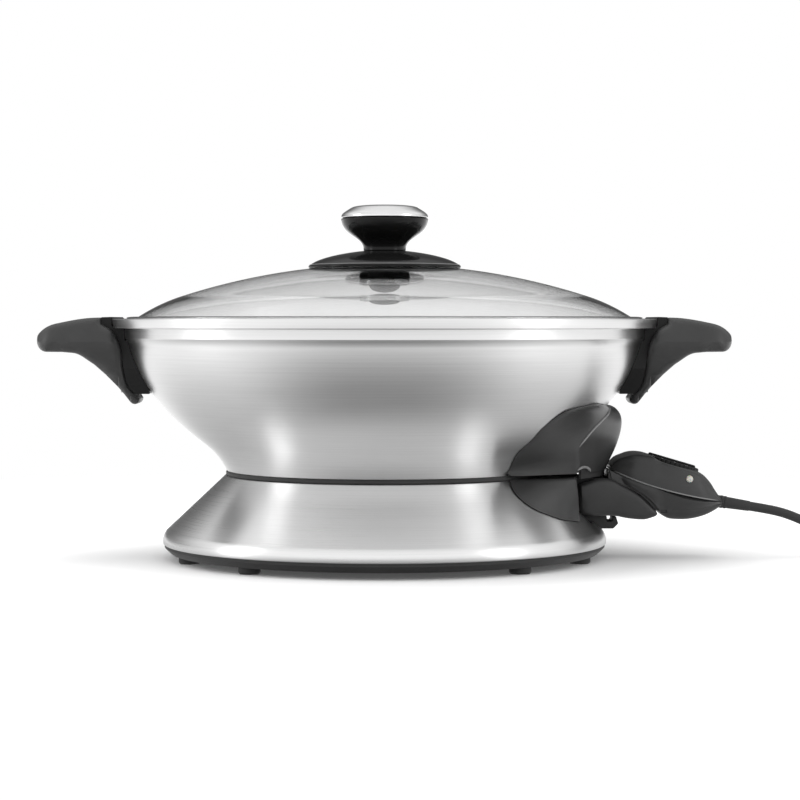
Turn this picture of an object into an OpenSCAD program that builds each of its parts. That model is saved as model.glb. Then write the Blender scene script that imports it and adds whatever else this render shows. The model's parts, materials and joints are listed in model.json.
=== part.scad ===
// Electric wok: a lift-off bowl on a heated base, a glass lid and a pull-out heat control on a cord.
// +Z is up, +X points at the heat control, and the feet stand on z = 0 round the bowl's axis.

/* [Bowl] */
// Outside radius of the flange
flange_r = 187; // [185:0.5:189]
// Height of the flange's top face
flange_z = 164.4; // [164:0.1:165]
// Thickness of the flange's edge
flange_t = 4.4; // [3.6:0.2:5]
// Radius of the upright collar under the flange
collar_r = 178.5; // [178:0.1:179]
// Thickness of the bowl's wall
bowl_t = 2.2; // [1.6:0.1:2.6]
// Radius of the bowl's foot
foot_ring_r = 108.5; // [107:0.5:110]
// Height of the bowl's foot over the floor
foot_ring_z = 60.8; // [60.6:0.1:61.2]
// Height of the cooking floor inside the bowl
pan_z = 66; // [65.5:0.1:67]

/* [Lid] */
// Radius of the ball that the glass is cut from
glass_ball_r = 450; // [440:1:460]
// Height of the top of the glass
glass_top_z = 201.8; // [200:0.1:203]
// Thickness of the glass
glass_t = 4; // [3:0.2:4.4]
// Radius of the glass
glass_r = 172; // [171:0.5:173]
// Radius of the plate under the knob
knob_plate_r = 52.3; // [48:0.1:56]
// Radius of the knob
knob_r = 29.8; // [27:0.1:32]
// Height of the top of the knob
knob_top_z = 242.4; // [241:0.1:244]

/* [Handles] */
// Distance from the bowl's axis to a handle's tip
handle_reach = 235; // [232:0.1:238]
// Half of a handle's width
handle_half_w = 46; // [42:1:50]
// Radius of the rounded tip, seen from the side
handle_tip_r = 8.1; // [7:0.1:9]
// Radius of the outer corners, seen from above
handle_corner_r = 16; // [8:1:20]
// Height of the two screws that hold a handle
handle_screw_z = 118; // [116:1:120]

/* [Base] */
// Radius of the base's steel skirt
skirt_r = 152.2; // [150:0.1:154]
// Radius of the top of the cone
cone_top_r = 110.4; // [109.5:0.1:111.5]
// Height of the top of the cone
cone_top_z = 57.3; // [57:0.1:57.4]
// Thickness of the base's steel sheet
sheet_t = 1.2; // [0.8:0.1:1.6]
// Number of rubber feet
foot_count = 8; // [4:4:8]
// Diameter of a rubber foot
foot_d = 14.5; // [12:0.5:16]
// Height of a rubber foot under the pan
foot_h = 5; // [4.6:0.1:5]

/* [Socket] */
// Height of the sensor rod and the two terminal pins
plug_in_z = 46; // [45.5:0.1:46.5]
// Distance of a terminal pin from the middle
pin_y = 12.2; // [11.5:0.1:13]
// Radius of a terminal pin
pin_r = 2.4; // [2:0.1:2.6]
// Half of the width of the opening in the base
gate_half_w = 30.8; // [30.8:0.1:32]
// Half of the release lever's width
lever_half_w = 26.5; // [26:0.1:27]
// Wall of the plastic covers
cover_t = 2.5; // [2:0.1:3]

/* [Heat control] */
// Radius of the dial
dial_r = 19.5; // [17:0.5:20]
// Distance from the bowl's axis to the dial's middle
dial_x = 198; // [197:0.5:199]
// Slope of the heat control's top, in degrees
dial_tilt = 16.4; // [15:0.1:17]
// Radius of the sensor rod
rod_r = 3.2; // [2.8:0.1:3.3]
// Distance from the bowl's axis to the rod's tip
rod_tip_x = 58; // [56:1:64]

/* [Cord] */
// Diameter of the cord
cord_d = 6.4; // [6:0.1:6.6]
// Radius of the coil at the middle of its turns
coil_r = 34; // [33:0.5:36]
// Width and height of the coil's bundle of turns
coil_w = 13.4; // [13:0.1:14]
// Distance from the bowl's axis to the coil's middle, along X
coil_x = 352; // [350:1:356]

/* [Hidden] */
$fn = 96;

// Points along a cubic curve, and along an arc given its middle, radius and two angles.
function mix(a, b, t) = a + (b - a) * t;
function bezier_at(p, t) =
    let (u = 1 - t)
    p[0] * u * u * u + p[1] * 3 * u * u * t + p[2] * 3 * u * t * t + p[3] * t * t * t;
function bezier(p, n, t0 = 0, t1 = 1) = [for (i = [0:n]) bezier_at(p, mix(t0, t1, i / n))];
function arc(c, r, a0, a1, n) =
    [for (i = [0:n]) let (a = mix(a0, a1, i / n)) [c[0] + r * cos(a), c[1] + r * sin(a)]];
function reversed(list) = [for (i = [len(list) - 1:-1:0]) list[i]];
function ball_z(r, ball_r) = glass_top_z - glass_ball_r + sqrt(ball_r * ball_r - r * r);

// The bowl's outer and inner wall curves, from the collar down to where the foot ring leaves the pan.
fit = 0.3;
collar_z = 149.8;
wall_outer = [[176.5, collar_z], [171, 125], [155, 103], [122, 78]];
wall_inner = [for (p = wall_outer) [p[0] - 0.75 * bowl_t, p[1] + 0.6 * bowl_t]];
pan_inner = [wall_inner[3], wall_inner[3] + [-11, -8.4], [95, pan_z], [75, pan_z]];
pan_outer = [wall_outer[3], wall_outer[3] + [-11.1, -8.5], [96, pan_z - bowl_t], [75, pan_z - bowl_t]];
foot_curve = [wall_outer[3], [115.5, 72.5], [110.8, 66], [foot_ring_r, foot_ring_z]];
foot_inside = [[foot_ring_r - 1.4, foot_ring_z + 1.8], [108.6, 65.6], [110.4, 68.4], [112.2, 70.2]];
foot_lip_r = 103.8;
pan_split = 0.27;
shelf_z = flange_z - 2;
shelf_r = 178;
bore_r = 174.3;

// The glass sits on a shelf inside the flange.
edge_r = flange_t / 2;
flange_edge = arc([flange_r - edge_r, flange_z - edge_r], edge_r, -80, 90, 8);

// The cone of the base and its rounded skirt.
skirt_fillet = 10;
skirt_fillet_z = 13.2;
cone_angle = 46.3;
skirt_low_z = 10.8;
skirt_in = skirt_r - skirt_fillet;
gate_low_z = 25.2;
housing_top_z = 58.2;

// The handles' profile in X and Z, and half of their width from the foot up to the grip.
tip_c = [handle_reach - handle_tip_r, 150.2];
tip_start = tip_c + handle_tip_r * [cos(22), sin(22)];
handle_in = [
    [169.8, 113.5], [173.4, 117.5], [175, 123], [176.2, 134], [177.4, 144], [179.6, 150.5], [183.5, 156.5],
    [190.6, 161]
];
handle_top = bezier([[190.6, 165.2], [203, 165], [213, 162.8], [220.6, 161.2]], 6);
handle_nose = bezier([[220.6, 161.2], [226.4, 160], [230.4, 157.4], tip_start], 6);
handle_tip = arc(tip_c, handle_tip_r, 22, -90, 10);
handle_under = bezier([[211, 141.5], [207, 141.4], [204.4, 140], [201.6, 137.8]], 5);
handle_leg = [[195.8, 133.5], [188.7, 126.4], [181.4, 117.9], [177.6, 112.8]];
handle_lip = arc([171, 109.6], 3.6, -38, -190, 9);
screw_head_x = 177.4;
handle_taper = bezier([[handle_half_w, 147], [45, 134], [26, 124], [18.5, 104]], 10);
screw_y = 11;

// The heat control: its seam, and half widths along it.
seam = bezier([[152, 62.4], [172, 52], [198, 44.4], [232.5, 39]], 12);
dial_top_z = 73.6 - (dial_x - 173.8) * tan(dial_tilt);
dial_h = 5;
trough_top = [[133, 53], [150.6, 56], [161, 51.8], [172, 46.2], [179.5, 40], [185, 34]];
trough_low = [[183.4, 29.4], [176.8, 27.6], [166, 28.4], [156, 30.2], [133, 29.8]];
lever_pivot = [138, 49];
shroud = [131, 150.5, 36, 56];
nose_half_w = 19.5;
trough_half_w = 22.6;
exit_slope = 9;
exit_at = [231, 0, 38.4];
relief_len = 21;

// The cord's route: out of the strain relief, down to the floor and along it to the coil.
lead_route = [
    [250, 0, 35.4], [256, 0, 34.4], [264, 0, 33], [273, 0, 31], [282, 0, 28], [291, 0, 24], [299, 0, 19.6],
    [307, 1, 15], [315, 3, 10.8], [322, 4.6, 7.6], [329, 6, 5.4], [336, 7.2, 4.4], [343, 7.8, 4], [350, 8, 4]
];
tail_route = [
    [354, 6.6, 10], [362, 6.4, 9.6], [370, 6, 9], [378, 5.4, 8.8], [386, 5, 9.4], [394, 5, 10], [402, 5, 10]
];
coil_y = 44;
coil_low = 0.7;
plug_x = 394;
plug_z = 10;

module ring(points) {
    rotate_extrude($fn = 144) polygon(points);
}

module tube(r_out, r_in, h) {
    difference() {
        cylinder(r = r_out, h = h);
        translate([0, 0, -1]) cylinder(r = r_in, h = h + 2);
    }
}

// A rod of radius r from point a to point b.
module rod(a, b, r) {
    d = b - a;
    translate(a) rotate([0, acos(d[2] / norm(d)), atan2(d[1], d[0])]) cylinder(r = r, h = norm(d));
}

// A slab whose outline lies in X and Z, between y = -half and y = half.
module side_slab(points, half) {
    translate([0, half, 0]) rotate([90, 0, 0]) linear_extrude(2 * half) polygon(points);
}

// A small cube at each point and its mirror image in Y, for the corners of a hull.
module corners(points, size = 0.2) {
    for (p = points)
        for (s = [-1, 1])
            translate([p[0], s * p[1], p[2]]) cube(size, center = true);
}

// A ball inside each corner and its mirror image: [x, half width, top z, radius].
module soft_corners(points, sides = 28) {
    for (p = points)
        for (s = [-1, 1])
            translate([p[0], s * (p[1] - p[3]), p[2] - p[3]]) sphere(r = p[3], $fn = sides);
}

// Everything that the bowl's outside takes up, grown by gap.
module bowl_envelope(gap) {
    ring(concat(
        [[0, foot_ring_z - gap], [foot_ring_r + gap, foot_ring_z - gap]],
        [for (p = reversed(bezier(foot_curve, 8))) p + [gap, -gap]],
        [for (p = reversed(bezier(wall_outer, 16))) p + [gap, -gap]],
        [[collar_r + gap, collar_z - gap], [collar_r + gap, 157.2 - gap], [flange_r + gap, 159.6 - gap]],
        [[flange_r + gap, flange_z + gap], [0, flange_z + gap]]
    ));
}

// The outside of the base's cone, grown by gap.
module cone_envelope(gap) {
    ring(concat(
        [[0, skirt_low_z], [skirt_r + gap, skirt_low_z]],
        [for (p = arc([skirt_in, skirt_fillet_z], skirt_fillet, 0, cone_angle, 6)) p + [gap, gap]],
        [[cone_top_r + gap, cone_top_z], [cone_top_r + gap, cone_top_z + 40], [0, cone_top_z + 40]]
    ));
}

// ---- Base ----

module base_shell() {
    outer = concat(
        [[foot_lip_r + 0.8, cone_top_z], [cone_top_r - 0.8, cone_top_z]],
        [[cone_top_r + 0.5, cone_top_z - 0.7]],
        reversed(arc([skirt_in, skirt_fillet_z], skirt_fillet, 0, cone_angle, 8)),
        [[skirt_r, 11.8], [skirt_r - 1, skirt_low_z]]
    );
    inner = concat(
        [[skirt_r - 2.2, skirt_low_z], [skirt_r - sheet_t, 12.2]],
        arc([skirt_in, skirt_fillet_z], skirt_fillet - sheet_t, 0, cone_angle, 8),
        [[cone_top_r - 0.6, cone_top_z - sheet_t - 0.3], [foot_lip_r + 0.8, cone_top_z - sheet_t]]
    );
    color([0.74, 0.74, 0.75]) difference() {
        ring(concat(outer, inner));
        translate([95, -gate_half_w, gate_low_z]) cube([70, 2 * gate_half_w, 60]);
        translate([95, -11, 21.6]) cube([70, 22, 10]);
    }
}

module base_pan() {
    post_r = 4;
    color([0.07, 0.07, 0.07]) difference() {
        union() {
            ring([
                [0, foot_h], [145.4, foot_h], [146.8, foot_h - 0.4], [149.2, 6.8], [151.2, 8.8],
                [151.2, 10.7], [149, 10.7], [147.2, 9], [145, 7.2], [0, 7.2]
            ]);
            for (a = [45:90:315])
                rotate(a) translate([50, 0, 7]) cylinder(r = post_r, h = 17);
        }
        for (i = [0:foot_count - 1])
            rotate(foot_angle(i)) translate([foot_place_r, 0, 0]) cylinder(r = 3, h = 12);
        for (a = [0:30:330])
            rotate(a + 15) translate([92, 0, 0]) cylinder(r = 4, h = 12);
        for (a = [45:90:315])
            rotate(a) translate([50, 0, 9]) cylinder(r = 1.6, h = 20);
    }
}

// The feet stand in two rows, so that the front middle stays free.
foot_place_r = 138;
function foot_angle(i) =
    let (near = 18.3, far = 50.8, q = floor(i / 2) * 90)
    q % 180 == 0 ? q + (i % 2 == 0 ? near : far) : q + 90 - (i % 2 == 0 ? near : far);

module base_feet() {
    color([0.05, 0.05, 0.05])
        for (i = [0:foot_count - 1])
            rotate(foot_angle(i)) translate([foot_place_r, 0, 0]) {
                cylinder(r1 = foot_d / 2 - 0.8, r2 = foot_d / 2, h = 1.2);
                translate([0, 0, 1.2]) cylinder(r = foot_d / 2, h = foot_h - 1.3);
                translate([0, 0, 1.2]) cylinder(r = 2.9, h = 7.4);
            }
}

module base_shield() {
    color([0.8, 0.8, 0.8]) difference() {
        ring([
            [0, 24.1], [88, 24.1], [94, 28.4], [100, 28.8], [100, 29.7], [93.6, 29.3], [87.6, 25], [0, 25]
        ]);
        for (a = [45:90:315])
            rotate(a) translate([50, 0, 20]) cylinder(r = 1.8, h = 10);
    }
}

module base_screws() {
    color([0.6, 0.6, 0.6])
        for (a = [45:90:315])
            rotate(a) translate([50, 0, 0]) {
                translate([0, 0, 12]) cylinder(r = 1.55, h = 14);
                translate([0, 0, 25.1]) cylinder(r1 = 3.2, r2 = 2.6, h = 2);
            }
}

module neck_seal() {
    in_r = foot_lip_r + 1.1;
    out_r = foot_ring_r + 0.6;
    color([0.04, 0.04, 0.04]) difference() {
        ring([
            [in_r, cone_top_z + 0.05], [out_r - 0.8, cone_top_z + 0.05], [out_r, cone_top_z + 0.9],
            [out_r, foot_ring_z - 0.9], [out_r - 0.8, foot_ring_z - 0.1], [in_r, foot_ring_z - 0.1]
        ]);
        translate([90, -gate_half_w, 40]) cube([40, 2 * gate_half_w, 30]);
    }
}

// The outside of the cover that frames the opening in the base's cone.
module housing_block(inset) {
    top = [[82.7, 73], [98, 71.4], [114, 65.4], [129.8, 53.8]];
    low = [[84, 98], [98, 88], [108, 80.4], [119, 70.6], [130.2, 53.4]];
    hull() {
        corners([for (p = top) [p[0] - inset, p[1] - inset, housing_top_z - inset]]);
        corners([for (p = low) [p[0] - inset, p[1] - inset, 29 - inset]]);
    }
}

module lower_housing() {
    wing_y = gate_half_w - 0.3;
    color([0.16, 0.16, 0.17]) difference() {
        union() {
            difference() {
                housing_block(0);
                cone_envelope(fit);
            }
            translate([106, -wing_y, gate_low_z + 0.2])
                cube([24.2, 2 * wing_y, housing_top_z - gate_low_z - 0.2]);
        }
        difference() {
            housing_block(cover_t);
            translate([60, -wing_y, 0]) cube([90, 2 * wing_y, 90]);
        }
        translate([90, cover_t - wing_y, gate_low_z + 3.2]) cube([60, 2 * (wing_y - cover_t), 60]);
    }
}

module lock_tab() {
    low = 22;
    color([0.1, 0.1, 0.1])
        side_slab([
            [118, low], [157, low], [159.4, low + 1], [160, 24.4], [158.6, 28.6], [156.8, 28.6], [156, 26],
            [153, 26], [152, 28.4], [132, 28.4], [131.2, 25.3], [118, 25.3]
        ], 10);
}

// ---- Bowl ----

module wok_bowl() {
    color([0.66, 0.66, 0.67])
        ring(concat(
            [[0, pan_z - bowl_t]],
            reversed(bezier(pan_outer, 12)),
            reversed([for (i = [0:15]) bezier_at(wall_outer, i / 16)]),
            [[collar_r - 0.3, collar_z + 0.6], [collar_r, 151], [collar_r, 157.2], [collar_r + 0.7, 157.4]],
            flange_edge,
            [[shelf_r + 0.4, flange_z], [shelf_r, flange_z - 0.4], [shelf_r, shelf_z], [bore_r, shelf_z]],
            [for (i = [0:16]) bezier_at(wall_inner, i / 16)],
            [for (i = [1:10]) bezier_at(pan_inner, i / 10)],
            [[0, pan_z]]
        ));
}

// The skirt under the bowl's wall, down to the seal on the base.
module bowl_foot() {
    color([0.66, 0.66, 0.67])
        ring(concat(
            [for (p = bezier(pan_outer, 5, 0.09, pan_split)) p - [0, 0.06]],
            reversed(bezier(foot_inside, 4)),
            [[foot_lip_r, foot_ring_z + 1.8], [foot_lip_r, foot_ring_z]],
            reversed(bezier(foot_curve, 8, 0.12, 1))
        ));
}

clad_r = 90;
clad_low_z = 57.5;
element_r = 70;
element_z = 57;
element_tube_r = 3.9;
leg_x = 78;

module clad_base() {
    color([0.72, 0.72, 0.72]) difference() {
        translate([0, 0, clad_low_z]) cylinder(r = clad_r, h = pan_z - bowl_t - clad_low_z);
        rotate_extrude() translate([element_r, element_z]) circle(r = element_tube_r + 0.1, $fn = 32);
        for (s = [-1, 1]) {
            translate([element_r * cos(12), s * pin_y, element_z]) sphere(r = element_tube_r + 0.9, $fn = 32);
            rod(
                [element_r - 2, s * pin_y, element_z], [leg_x + 4, s * pin_y, element_z - 14],
                element_tube_r + 0.6
            );
        }
    }
}

module heating_element() {
    bend = asin(pin_y / element_r);
    start_x = element_r * cos(bend);
    color([0.25, 0.25, 0.26]) {
        rotate(bend) rotate_extrude(angle = 360 - 2 * bend)
            translate([element_r, element_z]) circle(r = element_tube_r, $fn = 32);
        for (s = [-1, 1]) {
            translate([start_x, s * pin_y, element_z]) sphere(r = element_tube_r + 0.2, $fn = 32);
            rod([start_x, s * pin_y, element_z], [leg_x, s * pin_y, plug_in_z], element_tube_r - 0.1);
            translate([leg_x, s * pin_y, plug_in_z]) sphere(r = element_tube_r + 0.2, $fn = 32);
            rod([leg_x, s * pin_y, plug_in_z], [107, s * pin_y, plug_in_z], element_tube_r);
        }
    }
}

module sensor_well() {
    color([0.7, 0.7, 0.7]) difference() {
        translate([50, -6, plug_in_z - 5.5]) cube([38, 12, clad_low_z - plug_in_z + 5.5]);
        rod([54, 0, plug_in_z], [95, 0, plug_in_z], rod_r + 0.3);
    }
}

block_screw_x = 124.5;
bracket_z = 70;

module socket_block() {
    color([0.12, 0.11, 0.1]) difference() {
        union() {
            translate([107, -24, 33]) cube([24, 48, 24.6]);
            translate([118, -20, 50]) cube([13, 40, bracket_z - 50.1]);
        }
        for (s = [-1, 1])
            translate([block_screw_x, s * 9, 61]) cylinder(r = 1.8, h = 20);
        rod([100, 0, plug_in_z], [140, 0, plug_in_z], rod_r + 0.5);
        for (s = [-1, 1])
            rod([100, s * pin_y, plug_in_z], [140, s * pin_y, plug_in_z], pin_r + 0.05);
    }
}

module terminal_pins() {
    color([0.8, 0.79, 0.76])
        for (s = [-1, 1]) {
            rod([107.1, s * pin_y, plug_in_z], [146, s * pin_y, plug_in_z], pin_r);
            translate([146, s * pin_y, plug_in_z]) sphere(r = pin_r, $fn = 24);
        }
}

module socket_shroud() {
    half = trough_half_w - 0.6;
    wall = 1.6;
    color([0.1, 0.1, 0.1]) difference() {
        translate([shroud[0], -half, shroud[2]])
            cube([shroud[1] - shroud[0], 2 * half, shroud[3] - shroud[2]]);
        translate([shroud[0] - 1, wall - half, shroud[2] + wall])
            cube([40, 2 * (half - wall), shroud[3] - shroud[2] - 2 * wall]);
        rod([lever_pivot[0], -40, lever_pivot[1]], [lever_pivot[0], 40, lever_pivot[1]], 1.9);
    }
}

module lever_pins() {
    color([0.7, 0.7, 0.7])
        for (s = [-1, 1])
            translate([lever_pivot[0], s * 23.55, lever_pivot[1]]) rotate([90, 0, 0])
                cylinder(r = 1.85, h = 5.9, center = true);
}

// The outside of the cover over the socket: it hangs on the bowl's wall.
module cowl_block(inset) {
    low = foot_ring_z - (inset > 0 ? 0.3 : 0);
    hull() {
        corners([[129 - inset, 54 - inset, low], [147.4 - inset, 22 - inset, low], [151.4 - inset, 8, low]]);
        corners([[85, 75.4 - inset, low + 0.6], [82.6, 76 - inset, low + 5.4]]);
        soft_corners([
            [91 - inset, 90 - inset, 83, 1.5], [101 - inset, 98 - inset, 93, 1.5],
            [115 - inset, 100 - inset, 103, 2], [126 - inset, 92.6 - inset, 107.4, 2],
            [143 - inset, 69 - inset, 110.4 - inset, 2],
            [150 - inset, 42 - inset, 110.6 - inset, 3], [158 - inset, 16 - inset, 108.4 - inset, 5],
            [152.6 - inset, 40 - inset, 101 - inset, 4], [159.6 - inset, 16, 99 - inset, 4]
        ]);
        soft_corners([[130.6 - inset, 60 - inset, 79, 2], [139 - inset, 54 - inset, 90.4, 3]]);
        corners([[162.6 - inset, 9, 95], [157.8 - inset, 9, 77.5]], 1);
    }
}

module socket_cowl() {
    color([0.17, 0.17, 0.18]) difference() {
        cowl_block(0);
        cowl_block(cover_t);
        bowl_envelope(fit);
        translate([138.5, -60, 60]) scale([1.6, 1, 1]) rotate([-90, 0, 0]) cylinder(r = 4.4, h = 20);
    }
}

module cowl_bracket() {
    color([0.6, 0.6, 0.6]) difference() {
        intersection() {
            translate([110, -16, bracket_z]) cube([38, 32, 3]);
            cowl_block(cover_t + 0.3);
        }
        bowl_envelope(0.05);
        for (s = [-1, 1])
            translate([block_screw_x, s * 9, 60]) cylinder(r = 1.8, h = 20);
    }
}

module cowl_screws() {
    color([0.6, 0.6, 0.6])
        for (s = [-1, 1])
            translate([block_screw_x, s * 9, 0]) {
                translate([0, 0, bracket_z + 3.1]) cylinder(r1 = 3.2, r2 = 2.6, h = 2.2);
                translate([0, 0, 62]) cylinder(r = 1.7, h = bracket_z - 62 + 4);
            }
}

// ---- Handles: drawn on the right, mirrored for the left ----

// Everything between the handle's side faces, which come closer together towards its foot.
module tapered(inset) {
    side = [for (p = handle_taper) [p[0] - inset, p[1]]];
    translate([150, 0, 0]) rotate([90, 0, 90]) linear_extrude(100) polygon(concat(
        [[handle_half_w - inset, 180]], side,
        [for (p = reversed(side)) [-p[0], p[1]]], [[inset - handle_half_w, 180]]
    ));
}

module handle_blank() {
    straight = handle_half_w - handle_corner_r;
    intersection() {
        side_slab(
            concat(handle_in, handle_top, handle_nose, handle_tip, handle_under, handle_leg, handle_lip),
            handle_half_w
        );
        tapered(0);
        union() {
            translate([150, -straight, 90]) cube([handle_reach - 150, 2 * straight, 90]);
            translate([150, -handle_half_w, 90])
                cube([handle_reach - 150 - handle_corner_r, 2 * handle_half_w, 90]);
            for (s = [-1, 1])
                translate([handle_reach - handle_corner_r, s * straight, 90])
                    cylinder(r = handle_corner_r, h = 90);
        }
    }
}

module handle() {
    pocket = bezier([[229, 150], [229, 156], [224, 157.6], [212, 158.4]], 5);
    difference() {
        handle_blank();
        bowl_envelope(fit);
        side_slab(concat([[198, 100], [229, 100]], pocket, [[198, 158.4]]), handle_half_w - 9);
        for (s = [-1, 1]) {
            rod([150, s * screw_y, handle_screw_z], [200, s * screw_y, handle_screw_z], 2.2);
            rod([screw_head_x - 0.1, s * screw_y, handle_screw_z], [200, s * screw_y, handle_screw_z], 4.4);
        }
    }
}

module handle_pad() {
    difference() {
        intersection() {
            side_slab(concat(
                [[160, 113.3], [169.3, 113.3]], [for (p = handle_in) p - [0.15, 0]],
                [[190.4, 165.4], [184.2, 165.6], [183.4, 164.9], [183.4, 164], [160, 164]]
            ), 36);
            tapered(1);
        }
        bowl_envelope(0.1);
        for (s = [-1, 1])
            translate([150, s * screw_y - 5.8, handle_screw_z - 4.9]) cube([40, 11.6, 9.8]);
    }
}

lug_reach = 169.5;

module handle_lug() {
    difference() {
        for (s = [-1, 1])
            translate([155, s * screw_y - 5.5, handle_screw_z - 4.4]) cube([lug_reach - 155, 11, 8.8]);
        bowl_envelope(0.05);
        for (s = [-1, 1])
            rod([150, s * screw_y, handle_screw_z], [200, s * screw_y, handle_screw_z], 2.05);
    }
}

module handle_screws() {
    for (s = [-1, 1])
        translate([0, s * screw_y, handle_screw_z]) {
            rod([166.4, 0, 0], [screw_head_x + 1, 0, 0], 2);
            rod([screw_head_x, 0, 0], [screw_head_x + 2.6, 0, 0], 4);
        }
}

module handle_right() {
    color([0.15, 0.15, 0.16]) handle();
}

module handle_left() {
    color([0.15, 0.15, 0.16]) mirror([1, 0, 0]) handle();
}

module handle_pad_right() {
    color([0.05, 0.05, 0.05]) handle_pad();
}

module handle_pad_left() {
    color([0.05, 0.05, 0.05]) mirror([1, 0, 0]) handle_pad();
}

module handle_lug_right() {
    color([0.7, 0.7, 0.7]) handle_lug();
}

module handle_lug_left() {
    color([0.7, 0.7, 0.7]) mirror([1, 0, 0]) handle_lug();
}

module handle_screws_right() {
    color([0.75, 0.75, 0.75]) handle_screws();
}

module handle_screws_left() {
    color([0.75, 0.75, 0.75]) mirror([1, 0, 0]) handle_screws();
}

// ---- Release lever: a trough under the heat control's nose, hinged on the socket ----

module release_lever() {
    inner = [[120, 33], [156, 33.2], [166, 31.6], [177, 31.2], [200, 31.2], [200, 80], [120, 80]];
    color([0.2, 0.2, 0.21]) difference() {
        side_slab(concat(trough_top, trough_low), lever_half_w);
        side_slab(inner, trough_half_w);
        translate([120, -13, 20]) cube([45, 26, 20]);
        rod([lever_pivot[0], -40, lever_pivot[1]], [lever_pivot[0], 40, lever_pivot[1]], 1.92);
    }
}

module lever_spring() {
    turns = 3;
    color([0.7, 0.7, 0.7])
        for (s = [-1, 1])
            for (i = [0:turns - 1])
                translate([146, s * 17, 33.4 + i * 0.85]) tube(2.4, 1.7, 0.6);
}

// ---- Lid ----

module lid_glass() {
    top = [for (i = [0:24]) let (r = mix(5.2, glass_r, i / 24)) [r, ball_z(r, glass_ball_r)]];
    low = [for (i = [24:-1:0]) let (r = mix(5.2, glass_r, i / 24)) [r, ball_z(r, glass_ball_r - glass_t)]];
    color([0.75, 0.78, 0.8, 0.4]) ring(concat(top, low));
}

module lid_rim() {
    lip_r = glass_r - 2.4;
    lip_z = ball_z(lip_r, glass_ball_r);
    gap = 0.05;
    low_z = shelf_z + 0.2;
    color([0.8, 0.8, 0.8])
        ring(concat(
            [[lip_r, low_z], [shelf_r - 1.2, low_z], [shelf_r - 0.8, low_z + 0.6], [shelf_r - 0.8, 165.4]],
            bezier([[176.9, 166.4], [176, 168.2], [173.6, 169.4], [lip_r, lip_z + 0.8]], 5),
            [[lip_r, lip_z + gap], [glass_r + gap, ball_z(glass_r, glass_ball_r) + gap]],
            [[glass_r + gap, ball_z(glass_r, glass_ball_r - glass_t) - gap]],
            [[lip_r, ball_z(lip_r, glass_ball_r - glass_t) - gap]]
        ));
}

stem_z = 211;
bolt_r = 3;

module knob_plate() {
    under = [
        for (i = [0:6]) let (r = mix(bolt_r + 0.2, knob_plate_r, i / 6)) [r, ball_z(r, glass_ball_r) + 0.1]
    ];
    color([0.05, 0.05, 0.05])
        ring(concat(
            under,
            [[knob_plate_r, 201.8], [knob_plate_r - 0.4, 202.3]],
            bezier([[knob_plate_r - 1.6, 202.4], [47, 205.2], [36, 208.8], [15.4, stem_z - 0.1]], 8),
            [[bolt_r + 0.2, stem_z - 0.1]]
        ));
}

module knob_gasket() {
    color([0.05, 0.05, 0.05]) translate([0, 0, 192.3]) tube(17.4, bolt_r + 0.2, 5);
}

module knob_washer() {
    color([0.55, 0.55, 0.55]) translate([0, 0, 187.9]) tube(17.4, bolt_r + 0.2, 4.3);
}

module knob_nut() {
    color([0.12, 0.12, 0.12]) difference() {
        ring(concat(
            [[0, 182.6]], bezier([[3, 182.6], [8, 182.8], [10.6, 184.4], [10.8, 187.8]], 6), [[0, 187.8]]
        ));
        translate([0, 0, 184.4]) cylinder(r = bolt_r + 0.05, h = 10);
    }
}

module knob_bolt() {
    color([0.7, 0.7, 0.7]) translate([0, 0, 184.6]) cylinder(r = bolt_r, h = 41);
}

cap_low_z = 233.5;

module knob_body() {
    side = bezier([[14.5, 212.6], [15, 220.6], [28.4, 221.4], [knob_r - 0.2, 231.8]], 12);
    dome = bezier([[knob_r - 1.4, cap_low_z], [26, 237.6], [18, 240.8], [0, knob_top_z - 1.3]], 8);
    color([0.05, 0.05, 0.05]) difference() {
        ring(concat([[0, stem_z], [14.2, stem_z]], side, [[knob_r, 232.4], [knob_r - 0.3, cap_low_z]], dome));
        translate([0, 0, stem_z - 1]) cylinder(r = bolt_r + 0.05, h = 16);
    }
}

module knob_cap() {
    inner = bezier([[knob_r - 1.3, cap_low_z + 0.1], [26, 237.7], [18, 240.9], [0, knob_top_z - 1.2]], 8);
    side = bezier([[knob_r, cap_low_z + 0.6], [knob_r + 0.1, 236.4], [27, 238], [22.8, 240.6]], 6);
    crown = bezier([[22.8, 240.6], [20.8, 241.9], [18, knob_top_z - 0.1], [12, knob_top_z]], 5);
    outer = concat(side, crown, [[0, knob_top_z]]);
    color([0.8, 0.8, 0.8]) ring(concat(inner, reversed(outer), [[knob_r - 0.1, cap_low_z + 0.1]]));
}

// ---- Heat control ----

// The part of X and Z above the seam, and below it, moved by gap.
module above_seam(gap) {
    side_slab(concat([for (p = seam) p + [0, gap]], [[260, 60], [260, 100], [100, 100], [100, 80]]), 50);
}

module below_seam(gap) {
    side_slab(
        concat([for (p = reversed(seam)) p + [0, gap]], [[100, 70], [100, 10], [260, 10], [260, 30]]), 50
    );
}

// The outside of the top cover, or its hollow: inset by wall, and open below by drop.
module probe_top_block(wall, drop) {
    hull() {
        soft_corners([
            [157 - wall * 0.2, 18 - wall, 65.6 - wall, 2], [164, 22.5 - wall, 70 - wall, 3],
            [173, 26 - wall, 72.8 - wall, 4], [196, 27.6 - wall, 65.8 - wall, 4],
            [215, 25 - wall, 60 - wall, 4], [222 - wall, 20 - wall, 53.6 - wall, 3],
            [228.5 - wall, 13 - wall, 44.6 - wall, 2]
        ], 20);
        corners([
            for (p = [
                [154.6 + wall, 17, 61.8], [172, 27.6, 52.6], [188, 29.2, 47], [204, 28.4, 43.6],
                [218.5, 24.6, 40.4], [228.6 - wall, 16, 39.2], [231.6 - wall, 9, 39.2]
            ]) [p[0], p[1] - wall, p[2] - drop]
        ]);
    }
}

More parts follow.
